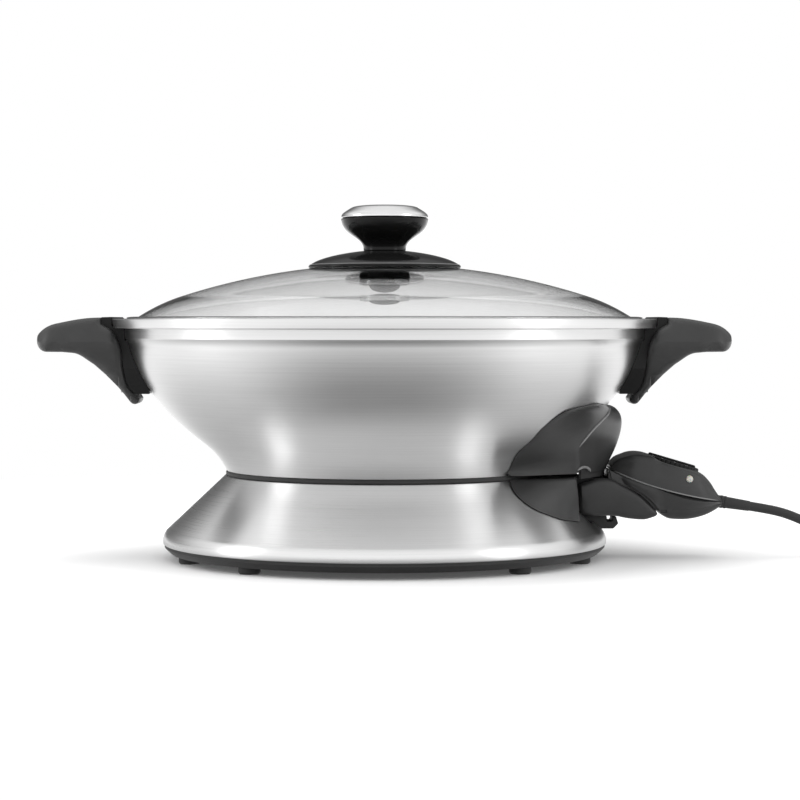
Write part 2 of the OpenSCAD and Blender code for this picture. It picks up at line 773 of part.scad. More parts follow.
module dial_at() {
    translate([dial_x, 0, dial_top_z]) rotate([0, dial_tilt, 0]) children();
}

module probe_top() {
    seat_r = dial_r + 2.1;
    color([0.2, 0.2, 0.21]) difference() {
        probe_top_block(0, 0);
        below_seam(0.15);
        difference() {
            probe_top_block(probe_t, 8);
            dial_at() translate([0, 0, -dial_h - 1.4]) cylinder(r = seat_r, h = 20);
        }
        dial_at() translate([0, 0, 0.4 - dial_h]) cylinder(r = dial_r + 0.4, h = 20);
        dial_at() translate([0, 0, -20]) cylinder(r = shaft_r + 0.06, h = 30);
        rod([lens_at[0], -40, lens_at[2]], [lens_at[0], -10, lens_at[2]], 2.5);
        exit_rod(4.3);
    }
}

probe_t = 2.2;
shaft_r = 2.5;
lens_at = [207, -27.2, 55.6];
probe_screw_places = [[200, 15, 29.6], [200, -15, 29.6], [168, 17, 34.4], [168, -17, 34.4]];

// A rod along the cord's way out, from inside the heat control to beyond it.
module exit_rod(r) {
    rod(exit_point(-26), exit_point(10), r);
}

function exit_point(d) = exit_at + d * [cos(exit_slope), 0, -sin(exit_slope)];

// The outside of the bottom cover behind the lever, or its hollow: inset by wall, and open above by rise.
module probe_bottom_block(wall, rise) {
    hull() {
        corners([
            for (p = [
                [188.4 + wall, 25.6, 46.6], [204, 26.6, 43.6], [218.5, 22.8, 40.6], [228.6 - wall, 15, 39.2],
                [231.6 - wall, 9, 39.2]
            ]) [p[0], p[1] - wall, p[2] + rise]
        ]);
        soft_corners([
            [192 + wall, 20 - wall, 33.4 + wall, 2], [197 + wall, 20 - wall, 31.4 + wall, 2],
            [206, 20 - wall, 31.2 + wall, 2], [215 - wall, 18 - wall, 32.4 + wall, 2],
            [224 - wall, 13.4 - wall, 35.6 + wall, 2], [229 - wall, 8.4 - wall, 38.4 + wall, 2]
        ], 20);
    }
}

// The narrow front of the bottom cover, which lies in the lever's trough, or its hollow.
module probe_nose_block(wall) {
    side_slab([
        [152.4 + wall, 66], [152.4 + wall, 39 + wall], [160, 35.4 + wall], [168, 34 + wall],
        [192 + wall, 34 + wall], [192 + wall, 66]
    ], trough_half_w - 0.6 - wall);
}

module probe_bottom() {
    color([0.13, 0.13, 0.14]) {
        difference() {
            union() {
                probe_bottom_block(0, 0);
                probe_nose_block(0);
            }
            above_seam(-0.15);
            probe_bottom_block(probe_t, 8);
            probe_nose_block(probe_t);
            rod([130, 0, plug_in_z], [170, 0, plug_in_z], rod_r + 0.05);
            for (s = [-1, 1])
                rod([130, s * pin_y, plug_in_z], [151, s * pin_y, plug_in_z], 4.1);
            exit_rod(4.3);
            for (p = probe_screw_places)
                translate([p[0], p[1], 20]) cylinder(r = 1.6, h = 40);
            translate([186.6, -30, 33.2]) cube([5, 9.4, 2.2]);
        }
        difference() {
            translate([137, -nose_half_w, 39]) cube([16, 2 * nose_half_w, 14]);
            rod([130, 0, plug_in_z], [170, 0, plug_in_z], rod_r + 0.05);
            for (s = [-1, 1])
                rod([130, s * pin_y, plug_in_z], [151, s * pin_y, plug_in_z], 4.1);
        }
    }
}

module sensor_rod() {
    color([0.75, 0.75, 0.74]) {
        rod([rod_tip_x + rod_r, 0, plug_in_z], [158, 0, plug_in_z], rod_r);
        translate([rod_tip_x + rod_r, 0, plug_in_z]) sphere(r = rod_r, $fn = 32);
    }
}

module probe_contacts() {
    color([0.78, 0.66, 0.4])
        for (s = [-1, 1])
            difference() {
                rod([138, s * pin_y, plug_in_z], [150.8, s * pin_y, plug_in_z], 4);
                rod([130, s * pin_y, plug_in_z], [149.6, s * pin_y, plug_in_z], pin_r + 0.3);
            }
}

module thermostat() {
    color([0.75, 0.7, 0.6]) difference() {
        translate([160, -12, 38]) cube([22, 24, 13]);
        rod([150, 0, plug_in_z], [190, 0, plug_in_z], rod_r + 0.1);
    }
    color([0.75, 0.7, 0.6]) translate([182, -8, 40]) cube([14, 16, 6]);
}

module indicator_lens() {
    color([0.95, 0.9, 0.8])
        rod([lens_at[0], lens_at[1] + 0.2, lens_at[2]], [lens_at[0], -22, lens_at[2]], 2.4);
}

module indicator_lamp() {
    color([1, 0.8, 0.5]) {
        rod([lens_at[0], -21.9, lens_at[2]], [lens_at[0], -16, lens_at[2]], 1.8);
        rod([lens_at[0], -16, lens_at[2]], [lens_at[0], -13, lens_at[2]], 0.5);
    }
}

module probe_screws() {
    color([0.5, 0.5, 0.5])
        for (p = probe_screw_places)
            translate(p) cylinder(r = 1.5, h = 12);
}

module strain_relief() {
    bore = cord_d / 2 + 0.05;
    color([0.06, 0.06, 0.06]) translate(exit_at) rotate([0, 90 + exit_slope, 0])
        rotate_extrude() polygon([
            [bore, -9], [4.2, -9], [4.2, 0], [cord_d / 2 + 0.5, relief_len], [bore, relief_len]
        ]);
}

module cord_clamp() {
    color([0.12, 0.12, 0.12]) difference() {
        translate([208, -7, 31.9]) cube([7, 14, 12.7]);
        rod(exit_point(-40), exit_point(0), cord_d / 2 + 0.05);
    }
}

module dial() {
    notches = 36;
    color([0.06, 0.06, 0.06]) dial_at() difference() {
        union() {
            translate([0, 0, 0.5 - dial_h]) cylinder(r = dial_r, h = dial_h - 1.3);
            translate([0, 0, -0.8]) cylinder(r1 = dial_r, r2 = dial_r - 0.8, h = 0.8);
            translate([-dial_r + 2.4, -2, -0.2]) cube([2 * dial_r - 4.8, 4, 1.2]);
        }
        for (i = [0:notches - 1])
            rotate(i * 360 / notches) translate([dial_r + 0.25, 0, -10]) cylinder(r = 0.7, h = 20, $fn = 12);
        translate([0, 0, -20]) cylinder(r = shaft_r + 0.05, h = 20 - 1.4);
    }
}

module dial_shaft() {
    color([0.6, 0.6, 0.6]) dial_at() translate([0, 0, -19]) cylinder(r = shaft_r, h = 17.5);
}

// ---- Cord ----

// Ring k of the tube's points: square to the route, with one flat of the tube along Y.
function along(route, k) = route[min(k + 1, len(route) - 1)] - route[max(k - 1, 0)];
function ring_at(route, k, sides) =
    let (d = along(route, k) / norm(along(route, k)), side = cross([0, 0, 1], d), u = side / norm(side),
         v = cross(d, u))
    [for (i = [0:sides - 1]) let (a = 360 * i / sides) route[k] + cord_d / 2 * (cos(a) * u + sin(a) * v)];

module cord_tube(route) {
    sides = 8;
    count = len(route);
    points = [for (k = [0:count - 1]) each ring_at(route, k, sides)];
    walls = [
        for (k = [0:count - 2])
            for (i = [0:sides - 1])
                let (a = k * sides + i, b = k * sides + (i + 1) % sides)
                [a, a + sides, b + sides, b]
    ];
    ends = [[for (i = [0:sides - 1]) i], [for (i = [sides - 1:-1:0]) (count - 1) * sides + i]];
    polyhedron(points, concat(walls, ends), convexity = 4);
}

// The lead starts inside the heat control, at the clamp.
module cord_lead() {
    inside = [for (d = [-20, -10, 0, 10]) exit_point(d)];
    color([0.06, 0.06, 0.06]) cord_tube(concat(inside, lead_route));
}

module cord_tail() {
    color([0.06, 0.06, 0.06]) cord_tube(tail_route);
}

module cord_coil() {
    half = coil_w / 2;
    soft = 2.4;
    color([0.06, 0.06, 0.06]) translate([coil_x, coil_y, coil_low + half])
        rotate_extrude() polygon([
            [coil_r - half, soft - half], [coil_r - half + soft, -half], [coil_r + half - soft, -half],
            [coil_r + half, soft - half], [coil_r + half, half - soft], [coil_r + half - soft, half],
            [coil_r - half + soft, half], [coil_r - half, half - soft]
        ]);
}

module coil_tie() {
    t = 0.6;
    in_w = coil_w + 1;
    in_h = coil_w + 0.2;
    color([0.1, 0.1, 0.1]) translate([coil_x + coil_r, coil_y, coil_low + coil_w / 2]) difference() {
        cube([in_w + 2 * t, 7, in_h + 2 * t], center = true);
        cube([in_w, 20, in_h], center = true);
    }
}

module plug_body() {
    color([0.06, 0.06, 0.06]) difference() {
        union() {
            translate([plug_x, 5, plug_z]) rotate([0, 90, 0]) cylinder(r1 = 4, r2 = 6.6, h = 20);
            hull() {
                translate([plug_x + 20, 5, plug_z]) rotate([0, 90, 0]) cylinder(r = 7.4, h = 4);
                translate([plug_x + 27, 5 - 13, 0.2]) cube([12, 26, 19.6]);
            }
        }
        rod([plug_x - 6, 5, plug_z], [plug_x + 10, 5, plug_z], cord_d / 2 + 0.05);
    }
}

module plug_blades() {
    face_x = plug_x + 39;
    color([0.8, 0.78, 0.7]) {
        for (s = [-1, 1])
            translate([face_x - 6, 5 + s * 6.35 - 0.75, plug_z - 6.5]) cube([24, 1.5, 6.4]);
        rod([face_x - 6, 5, plug_z + 4.8], [face_x + 19, 5, plug_z + 4.8], 2.4);
    }
}

base_shell();
base_pan();
base_feet();
base_shield();
base_screws();
neck_seal();
lower_housing();
lock_tab();
wok_bowl();
bowl_foot();
clad_base();
heating_element();
sensor_well();
socket_block();
terminal_pins();
socket_shroud();
socket_cowl();
cowl_bracket();
cowl_screws();
lever_pins();
handle_left();
handle_right();
handle_pad_left();
handle_pad_right();
handle_lug_left();
handle_lug_right();
handle_screws_left();
handle_screws_right();
release_lever();
lever_spring();
lid_glass();
lid_rim();
knob_plate();
knob_gasket();
knob_washer();
knob_nut();
knob_bolt();
knob_body();
knob_cap();
probe_top();
probe_bottom();
sensor_rod();
probe_contacts();
thermostat();
indicator_lens();
indicator_lamp();
probe_screws();
strain_relief();
cord_clamp();
dial();
dial_shaft();
cord_lead();
cord_coil();
cord_tail();
coil_tie();
plug_body();
plug_blades();
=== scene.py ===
"""Electric wok: finishes, detailed pieces, cord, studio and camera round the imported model.

Outlines and places are in millimetres, as in the model's source, and become metres in mesh_from().
"""

import cmath
import json
import math

import bmesh
import bpy
import numpy as np
from mathutils import Matrix, Vector
from mathutils.geometry import delaunay_2d_cdt


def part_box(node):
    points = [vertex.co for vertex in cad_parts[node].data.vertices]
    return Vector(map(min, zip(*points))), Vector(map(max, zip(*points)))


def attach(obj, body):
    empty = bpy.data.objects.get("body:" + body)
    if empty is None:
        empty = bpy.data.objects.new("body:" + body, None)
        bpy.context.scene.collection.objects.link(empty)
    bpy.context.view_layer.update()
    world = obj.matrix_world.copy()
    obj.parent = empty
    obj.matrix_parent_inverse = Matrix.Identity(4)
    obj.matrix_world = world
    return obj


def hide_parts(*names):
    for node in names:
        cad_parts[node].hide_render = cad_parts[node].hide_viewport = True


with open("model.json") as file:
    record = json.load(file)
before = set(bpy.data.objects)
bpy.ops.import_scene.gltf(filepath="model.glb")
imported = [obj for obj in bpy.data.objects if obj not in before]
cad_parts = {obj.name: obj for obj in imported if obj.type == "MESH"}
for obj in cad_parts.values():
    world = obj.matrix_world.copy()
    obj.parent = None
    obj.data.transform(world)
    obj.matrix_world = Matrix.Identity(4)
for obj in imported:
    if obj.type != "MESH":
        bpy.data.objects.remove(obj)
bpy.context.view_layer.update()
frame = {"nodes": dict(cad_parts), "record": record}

MM = 0.001
RECORD = frame["record"]
SLOT_OF = {part["node"]: part["material_slot"] for part in RECORD["subparts"]}
BODY_OF = {node: body for body, nodes in RECORD["behaviour"]["bodies"].items() for node in nodes}


def low_mm(node):
    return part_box(node)[0] / MM


def high_mm(node):
    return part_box(node)[1] / MM


# ---- Finishes ----


class Nodes:
    """A node tree, with short calls that add nodes to it."""

    def __init__(self, tree):
        self.tree = tree

    def add(self, kind, inputs, **props):
        node = self.tree.nodes.new("ShaderNode" + kind)
        for prop, value in props.items():
            setattr(node, prop, value)
        for socket, value in inputs.items():
            if isinstance(value, bpy.types.NodeSocket):
                self.tree.links.new(value, node.inputs[socket])
            else:
                node.inputs[socket].default_value = value
        return node

    def math(self, operation, a, b=0.0):
        return self.add("Math", {0: a, 1: b}, operation=operation).outputs[0]

    def place(self):
        return self.add("TexCoord", {}).outputs["Object"]

    def noise(self, scale, detail=3.0, rough=0.6, vector=None):
        vector = self.place() if vector is None else vector
        inputs = {"Vector": vector, "Scale": scale, "Detail": detail, "Roughness": rough}
        return self.add("TexNoise", inputs).outputs["Fac"]

    def split(self, vector):
        return self.add("SeparateXYZ", {0: vector}).outputs

    def join(self, x, y, z=0.0):
        return self.add("CombineXYZ", {0: x, 1: y, 2: z}).outputs[0]

    def level(self, vector):
        x, y, _ = self.split(vector)
        return self.join(x, y)

    def length(self, vector):
        return self.add("VectorMath", {0: vector}, operation="LENGTH").outputs["Value"]

    def unit(self, vector):
        return self.add("VectorMath", {0: vector}, operation="NORMALIZE").outputs[0]

    def ramp(self, value, low, high, out_low, out_high):
        inputs = {"Value": value, "From Min": low, "From Max": high, "To Min": out_low, "To Max": out_high}
        return self.add("MapRange", inputs).outputs["Result"]

    def profile(self, value, stops):
        """A number that follows smooth stops (value, result) as value goes from 0 to 1."""
        ramp = self.add("ValToRGB", {"Fac": value})
        ramp.color_ramp.interpolation = "B_SPLINE"
        made = ramp.color_ramp.elements
        made[1].position = 1
        for k, (spot, result) in enumerate(stops):
            stop = made[0] if k == 0 else made[-1] if k == len(stops) - 1 else made.new(spot)
            stop.position = spot
            stop.color = (result, result, result, 1)
        return ramp.outputs[0]

    def facing(self, vector):
        """0 where the level direction of a vector is the camera's side, 0.5 at the sides and 1 behind."""
        return self.ramp(self.split(self.unit(self.level(vector)))[1], -1, 1, 0, 1)


class Shader(Nodes):
    """A Principled material."""

    def __init__(self, name, color, **sockets):
        self.material = bpy.data.materials.new(name)
        self.material.use_nodes = True
        super().__init__(self.material.node_tree)
        self.bsdf = self.tree.nodes["Principled BSDF"]
        self.bsdf.inputs["Base Color"].default_value = (*color, 1)
        for socket, value in sockets.items():
            self.bsdf.inputs[socket.replace("_", " ")].default_value = value

    def drive(self, socket, output):
        self.tree.links.new(output, self.bsdf.inputs[socket])

    def rough(self, noise, low, high):
        self.drive("Roughness", self.ramp(noise, 0.3, 0.7, low, high))

    def tint(self, value, dark, light):
        """Colours the surface from dark to light as value goes from 0 to 1."""
        mix = self.add("Mix", {0: value, 6: (*dark, 1), 7: (*light, 1)}, data_type="RGBA")
        self.drive("Base Color", mix.outputs[2])

    def bump(self, height, strength, distance):
        inputs = {"Height": height, "Strength": strength, "Distance": distance}
        self.drive("Normal", self.add("Bump", inputs).outputs["Normal"])


def grey(value):
    return (value, value, value)


def spun_steel(name, shade, rough, climb, anisotropy=0.75, line=1400):
    """Steel with fine lines round the Z axis, spaced along radius + climb * height."""
    s = Shader(name, grey(shade), Metallic=1.0, Anisotropic=anisotropy, Anisotropic_Rotation=0.25)
    s.drive("Tangent", s.add("Tangent", {}, direction_type="RADIAL", axis="Z").outputs[0])
    flat = s.level(s.place())
    along = s.math("ADD", s.length(flat), s.math("MULTIPLY", s.split(s.place())[2], climb))
    x, y, _ = s.split(s.unit(flat))
    fine = s.noise(1.6, 5.0, 0.7, s.join(x, y, s.math("MULTIPLY", along, line)))
    cloud = s.noise(9.0, 2.0, 0.5)
    s.tint(s.ramp(fine, 0.3, 0.7, 0.0, 1.0), grey(shade * 0.93), grey(shade * 1.04))
    worn = s.math("ADD", s.ramp(fine, 0.3, 0.7, -0.03, 0.03), s.ramp(cloud, 0.3, 0.7, -0.015, 0.015))
    s.drive("Roughness", s.math("ADD", worn, rough))
    s.bump(fine, 0.12, 0.0001)
    return s.material


def plain_metal(name, color, rough):
    """Rolled or plated metal: a fine grain, and soft patches in its gloss."""
    s = Shader(name, color, Metallic=1.0)
    cloud = s.noise(60.0)
    s.tint(cloud, tuple(c * 0.85 for c in color), color)
    s.rough(cloud, rough - 0.06, rough + 0.08)
    s.bump(s.noise(900.0), 0.1, 0.0001)
    return s.material


def moulded(name, shade, rough, gloss=0.3, grain=1500.0, strength=0.25, sheen=0.0):
    """Moulded plastic or rubber with a fine spark-eroded grain."""
    s = Shader(name, grey(shade), Specular_IOR_Level=gloss, Sheen_Weight=sheen, Sheen_Roughness=0.5)
    cloud = s.noise(45.0, 4.0)
    s.tint(s.ramp(cloud, 0.3, 0.7, 0.0, 1.0), grey(shade * 0.86), grey(shade * 1.12))
    s.rough(cloud, rough - 0.03, rough + 0.05)
    s.bump(s.noise(grain, 2.0, 0.7), strength, 0.00012)
    return s.material


def clear(name, color, density, rough=0.0):
    """Clear glass or plastic that darkens with its thickness, with a faint film on it."""
    s = Shader(name, grey(1.0), Transmission_Weight=1.0, IOR=1.5)
    volume = s.add("VolumeAbsorption", {"Color": (*color, 1), "Density": density})
    s.tree.links.new(volume.outputs[0], s.tree.nodes["Material Output"].inputs["Volume"])
    s.drive("Roughness", s.ramp(s.noise(14.0), 0.45, 0.8, rough, rough + 0.02))
    return s.material


def frosted(name, color):
    """Milky acrylic that lets some light through."""
    s = Shader(name, color, Transmission_Weight=0.4, IOR=1.49, Subsurface_Weight=0.2, Subsurface_Scale=0.002)
    s.tint(s.noise(300.0, 2.0), tuple(c * 0.94 for c in color), color)
    s.rough(s.noise(120.0), 0.12, 0.2)
    return s.material


def heated_sheath(name):
    """The element's steel sheath, blued and browned where it gets hot."""
    s = Shader(name, grey(0.2), Metallic=1.0)
    patch = s.noise(35.0, 4.0)
    s.tint(s.ramp(patch, 0.35, 0.65, 0.0, 1.0), (0.12, 0.11, 0.13), (0.27, 0.23, 0.2))
    s.rough(patch, 0.38, 0.6)
    s.bump(s.noise(700.0), 0.2, 0.0001)
    return s.material


# A finish for each slot, and after them those of the knob's cap, the lighter grey of painted highlight lines,
# and print.
KINDS = {
    "steel_base": (spun_steel, 0.72, 0.3, -1.0),
    "bowl_steel": (spun_steel, 0.66, 0.33, 0.8, 0.7, 900),
    "rim_steel": (spun_steel, 0.9, 0.13, 0.6, 0.3),
    "aluminium": (plain_metal, (0.72, 0.72, 0.73), 0.38),
    "fastener": (plain_metal, (0.6, 0.6, 0.6), 0.3),
    "contact": (plain_metal, (0.72, 0.7, 0.66), 0.22),
    "brass": (plain_metal, (0.72, 0.55, 0.28), 0.3),
    "blade": (plain_metal, (0.74, 0.7, 0.6), 0.25),
    "element": (heated_sheath,),
    "black_pan": (moulded, 0.022, 0.5),
    "rubber": (moulded, 0.02, 0.6, 0.3, 1100.0, 0.3, 0.05),
    "grey_plastic": (moulded, 0.027, 0.36),
    "dark_plastic": (moulded, 0.008, 0.45, 0.15),
    "knob_gloss": (moulded, 0.006, 0.12, 0.15, 400.0, 0.03),
    "ceramic": (moulded, 0.6, 0.7, 0.3, 900.0, 0.4),
    "glass": (clear, (0.6, 0.62, 0.62), 12.0),
    # Milky lens: its own pale colour, made paler still as a painted highlight.
    "lens": (frosted, (0.78, 0.74, 0.68)),
    "lamp": (clear, (0.9, 0.55, 0.3), 300.0, 0.05),
    # The knob's cap: the rim's steel made darker, painted shade for the darker reflections on it.
    "cap_steel": (spun_steel, 0.68, 0.24, 0.6, 0.4),
    # Lighter grey for thin beads: painted highlights along creases, seams and edges.
    "edge": (moulded, 0.17, 0.3),
    "print": (moulded, 0.7, 0.5),
}
FINISH = {name: make(name, *values) for name, (make, *values) in KINDS.items()}
for node_name, slot_name in SLOT_OF.items():
    slots = frame["nodes"][node_name].data.materials
    slots.clear()
    slots.append(FINISH[slot_name])


# ---- Mesh builders ----

SHARP_EDGE = 32


def placed(name, data):
    """A new object in the scene."""
    piece = bpy.data.objects.new(name, data)
    bpy.context.scene.collection.objects.link(piece)
    return piece


def mesh_from(name, points, faces):
    """An object from points in millimetres."""
    mesh = bpy.data.meshes.new(name)
    mesh.from_pydata([Vector(p) * MM for p in points], [], faces)
    return tidy_mesh(placed(name, mesh))


def tidy_mesh(piece):
    """Joins points that meet, turns all faces outwards, and shades smooth except at sharp edges."""
    bm = bmesh.new()
    bm.from_mesh(piece.data)
    bmesh.ops.remove_doubles(bm, verts=bm.verts, dist=0.00001)
    bmesh.ops.dissolve_degenerate(bm, edges=bm.edges, dist=0.000001)
    bmesh.ops.recalc_face_normals(bm, faces=bm.faces)
    bm.to_mesh(piece.data)
    bm.free()
    piece.data.shade_smooth()
    piece.data.set_sharp_from_angle(angle=math.radians(SHARP_EDGE))
    return piece


def bezier(p, steps):
    """Points along a cubic curve with the four control points p."""
    a, b, c, d = (Vector(point) for point in p)
    ts = [i / steps for i in range(steps + 1)]
    return [tuple(a * (1 - t) ** 3 + b * 3 * t * (1 - t) ** 2 + c * 3 * t * t * (1 - t) + d * t**3) for t in ts]


def arc(centre, radius, start, end, steps):
    angles = [math.radians(start + (end - start) * i / steps) for i in range(steps + 1)]
    return [(centre[0] + radius * math.cos(a), centre[1] + radius * math.sin(a)) for a in angles]


def rounded(corners, steps=5):
    """An outline from corners (a, b) or (a, b, radius), the latter rounded."""
    spots = [complex(corner[0], corner[1]) for corner in corners]
    outline = []
    for i, corner in enumerate(corners):
        if len(corner) == 2:
            outline.append(spots[i])
            continue
        back = spots[i - 1] - spots[i]
        ahead = spots[(i + 1) % len(spots)] - spots[i]
        back, ahead = back / abs(back), ahead / abs(ahead)
        half = abs(cmath.phase(ahead / back)) / 2
        centre = spots[i] + (back + ahead) / abs(back + ahead) * corner[2] / math.sin(half)
        start = spots[i] + back * corner[2] / math.tan(half) - centre
        end = spots[i] + ahead * corner[2] / math.tan(half) - centre
        turn = cmath.phase(end / start)
        outline += [centre + start * cmath.exp(1j * turn * k / steps) for k in range(steps + 1)]
    return [(p.real, p.imag) for p in outline]


def through(rows, steps):
    """More rows between the given ones, on a smooth curve through all of them (Catmull-Rom)."""
    rows = [np.array(row, float) for row in rows]
    made = []
    for i in range(len(rows) - 1):
        a, b, c, d = (rows[min(max(i + k, 0), len(rows) - 1)] for k in (-1, 0, 1, 2))
        for k in range(steps):
            t = k / steps
            made.append(0.5 * (2 * b + (c - a) * t + (2 * a - 5 * b + 4 * c - d) * t * t
                               + (3 * b - a - 3 * c + d) * t**3))
    return [*made, rows[-1]]


def lathe(name, outline, turns=192):
    """A solid turned round the Z axis from a closed outline of (radius, height)."""
    points, rows, faces = [], [], []
    for radius, height in outline:
        count = 1 if radius < 1e-6 else turns
        rows.append(range(len(points), len(points) + count))
        for k in range(count):
            angle = 2 * math.pi * k / turns
            points.append((radius * math.cos(angle), radius * math.sin(angle), height))
    for i, row in enumerate(rows):
        after = rows[(i + 1) % len(rows)]
        if len(row) == len(after) == 1:
            continue
        for k in range(turns):
            spots = [ring[n % len(ring)] for ring, n in ((row, k), (row, k + 1), (after, k + 1), (after, k))]
            faces.append(list(dict.fromkeys(spots)))
    return mesh_from(name, points, faces)


def loft(name, rows, capped=True):
    """A skin over closed rows of points, each row with the same number of them."""
    count = len(rows[0])
    points = [p for row in rows for p in row]
    faces = []
    for low in range(0, len(points) - count, count):
        for a, b in ((k, (k + 1) % count) for k in range(count)):
            faces.append([low + a, low + b, low + count + b, low + count + a])
    if capped:
        faces += [list(range(count)), list(range(len(points) - count, len(points)))]
    return mesh_from(name, points, faces)


def depth_in(outline, spots):
    """How far each spot is from the nearest side of the outline."""
    a = np.array(outline)
    side = np.roll(a, -1, axis=0) - a
    gap = np.array(spots)[:, None, :] - a[None]
    share = np.clip((gap * side).sum(2) / (side * side).sum(1), 0, 1)
    return np.linalg.norm(gap - share[..., None] * side, axis=2).min(1)


def inset_points(outline, edge, step):
    """Points inside an outline: rows that follow its rounded edge, and a grid over the rest."""
    ring = np.array(outline)
    inward = np.roll(ring, -1, axis=0) - np.roll(ring, 1, axis=0)
    inward = np.stack([-inward[:, 1], inward[:, 0]], 1) / np.linalg.norm(inward, axis=1)[:, None]
    after = np.roll(ring, -1, axis=0)
    if (ring[:, 0] * after[:, 1] - after[:, 0] * ring[:, 1]).sum() < 0:
        inward = -inward
    rows = []
    for share in (0.06, 0.22, 0.45, 0.72, 1.0):
        moved = ring + inward * edge * share
        rows += [tuple(p) for p, d in zip(moved, depth_in(outline, moved)) if d > edge * share * 0.97]
    low, high = ring.min(0), ring.max(0)
    grid = [(x, z) for x in np.arange(low[0], high[0], step) for z in np.arange(low[1], high[1], step)]
    return rows, [p for p, d in zip(grid, depth_in(outline, grid)) if d > edge + step * 0.6]


def pillow(name, outline, half_width, edge, step=2.5, fold=()):
    """A slab whose outline lies in X and Z, with rounded edges and side faces at y = ±half_width(x, z).

    The mesh has edges along the fold, a line of points over the side faces.
    """
    rows, grid = inset_points(outline, edge, step)
    grid = [p for p in grid if all(math.dist(p, q) > step * 0.6 for q in fold)]
    count = len(outline)
    flat = [Vector(p) for p in [*outline, *fold, *rows, *grid]]
    folds = [(count + k, count + k + 1) for k in range(len(fold) - 1)]
    made, _, faces, came_from, *_ = delaunay_2d_cdt(flat, folds, [list(range(count))], 1, 0.001)
    depth = np.minimum(depth_in(outline, [tuple(p) for p in made]), edge)
    reach = [half_width(p.x, p.y) - edge + math.sqrt(edge**2 - (edge - d) ** 2) for p, d in zip(made, depth)]
    points = [(p.x, way * y, p.y) for way in (-1, 1) for p, y in zip(made, reach)]
    spot_of = {source: k for k, sources in enumerate(came_from) for source in sources if source < count}
    rim = [spot_of[k] for k in range(count)]
    band = [[rim[k - 1], rim[k], rim[k] + len(made), rim[k - 1] + len(made)] for k in range(count)]
    return mesh_from(name, points, [*faces, *[[i + len(made) for i in f] for f in faces], *band])


def ring_at(spot, way, radius, sides):
    """Points round a spot, square to the way."""
    turn = way.to_track_quat("Z", "Y")
    angles = [math.tau * k / sides for k in range(sides)]
    return [spot + turn @ Vector((radius * math.cos(a), radius * math.sin(a), 0)) for a in angles]


def rod(name, start, end, radius, sides=32):
    """A round bar between two points."""
    start, end = Vector(start), Vector(end)
    return loft(name, [ring_at(spot, end - start, radius, sides) for spot in (start, end)])


def bead(name, path, radius):
    """A thin round moulding along a path, with tapered ends."""
    path = [Vector(p) for p in path]
    last = len(path) - 1
    rows = []
    for k, spot in enumerate(path):
        ahead = path[min(k + 1, last)] - path[max(k - 1, 0)]
        taper = 0.15 if k in (0, last) else 0.6 if k in (1, last - 1) else 1.0
        rows.append(ring_at(spot, ahead, radius * taper, sides=10))
    return loft(name, rows)


def both_sides(half):
    """A row of points from the near side to the far side, from its half on the far side."""
    return [(x, -y, z) for x, y, z in half] + (half[::-1] if half[-1][1] else half[-2::-1])


def sheet_through(name, rows, across, along, thick, creases=()):
    """A sheet of the given thickness under a surface through rows of points, folded at the creases' places."""
    cuts = [0, *creases, len(rows[0]) - 1]
    parts = [[through(row[a:b + 1], along)[a > 0:] for a, b in zip(cuts, cuts[1:])] for row in rows]
    rows = [np.concatenate([p for part in row for p in part]) for row in parts]
    outer = np.array([row.reshape(-1, 3) for row in through(rows, across)])
    normal = np.cross(np.gradient(outer, axis=0), np.gradient(outer, axis=1))
    inner = outer + thick * normal / np.linalg.norm(normal, axis=2)[..., None]
    grid = np.arange(outer[..., 0].size).reshape(outer.shape[:2])
    count = grid.size
    faces = []
    for shift, flip in ((0, 1), (count, -1)):
        quads = np.stack([grid[:-1, :-1], grid[:-1, 1:], grid[1:, 1:], grid[1:, :-1]], 2).reshape(-1, 4) + shift
        faces += quads[:, ::flip].tolist()
    edge = [int(v) for v in (*grid[0], *grid[1:, -1], *grid[-1, -2::-1], *grid[-2:0:-1, 0])]
    faces += [[a, a + count, b + count, b] for a, b in zip(edge, edge[1:] + edge[:1])]
    return mesh_from(name, [*outer.reshape(-1, 3), *inner.reshape(-1, 3)], faces)


def block(name, low, high, edge):
    """A box from its low to its high corner, with rounded edges."""
    bm = bmesh.new()
    bmesh.ops.create_cube(bm, size=1.0)
    for v in bm.verts:
        v.co = Vector([(h if c > 0 else l) * MM for c, l, h in zip(v.co, low, high)])
    bmesh.ops.bevel(bm, geom=bm.edges[:], offset=edge * MM, segments=3, affect="EDGES", profile=0.5)
    mesh = bpy.data.meshes.new(name)
    bm.to_mesh(mesh)
    bm.free()
    return tidy_mesh(placed(name, mesh))


def turned(piece, at, tilt=0.0, spin=0.0):
    """Moves a piece made round the Z axis: spin about Z, then tilt towards +X, then to its place."""
    matrix = Matrix.Translation(Vector(at) * MM)
    matrix @= Matrix.Rotation(math.radians(tilt), 4, "Y") @ Matrix.Rotation(math.radians(spin), 4, "Z")
    piece.data.transform(matrix)
    return piece


def carve(piece, *cutters, operation="DIFFERENCE"):
    """Cuts each cutter out of the piece, or joins it on, and removes the cutter."""
    for cutter in cutters:
        cut = piece.modifiers.new("cut", "BOOLEAN")
        cut.object, cut.operation, cut.solver = cutter, operation, "MANIFOLD"
        shown = piece.evaluated_get(bpy.context.evaluated_depsgraph_get())
        mesh = bpy.data.meshes.new_from_object(shown)
        piece.modifiers.clear()
        piece.data = mesh
        tidy_mesh(piece)
        bpy.data.objects.remove(cutter)
    return piece


def mirrored(piece, name):
    """A copy of the piece on the other side of X = 0."""
    twin = placed(name, piece.data.copy())
    twin.data.transform(Matrix.Diagonal((-1, 1, 1, 1)))
    return tidy_mesh(twin)


def carried(piece, body, slot, nodes=(), finish=None):
    """The piece rides on the body with a slot's finish, or another, and takes the place of the nodes."""
    piece.data.materials.clear()
    piece.data.materials.append(FINISH[finish or slot])
    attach(piece, body)
    if nodes:
        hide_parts(*nodes)
    return piece


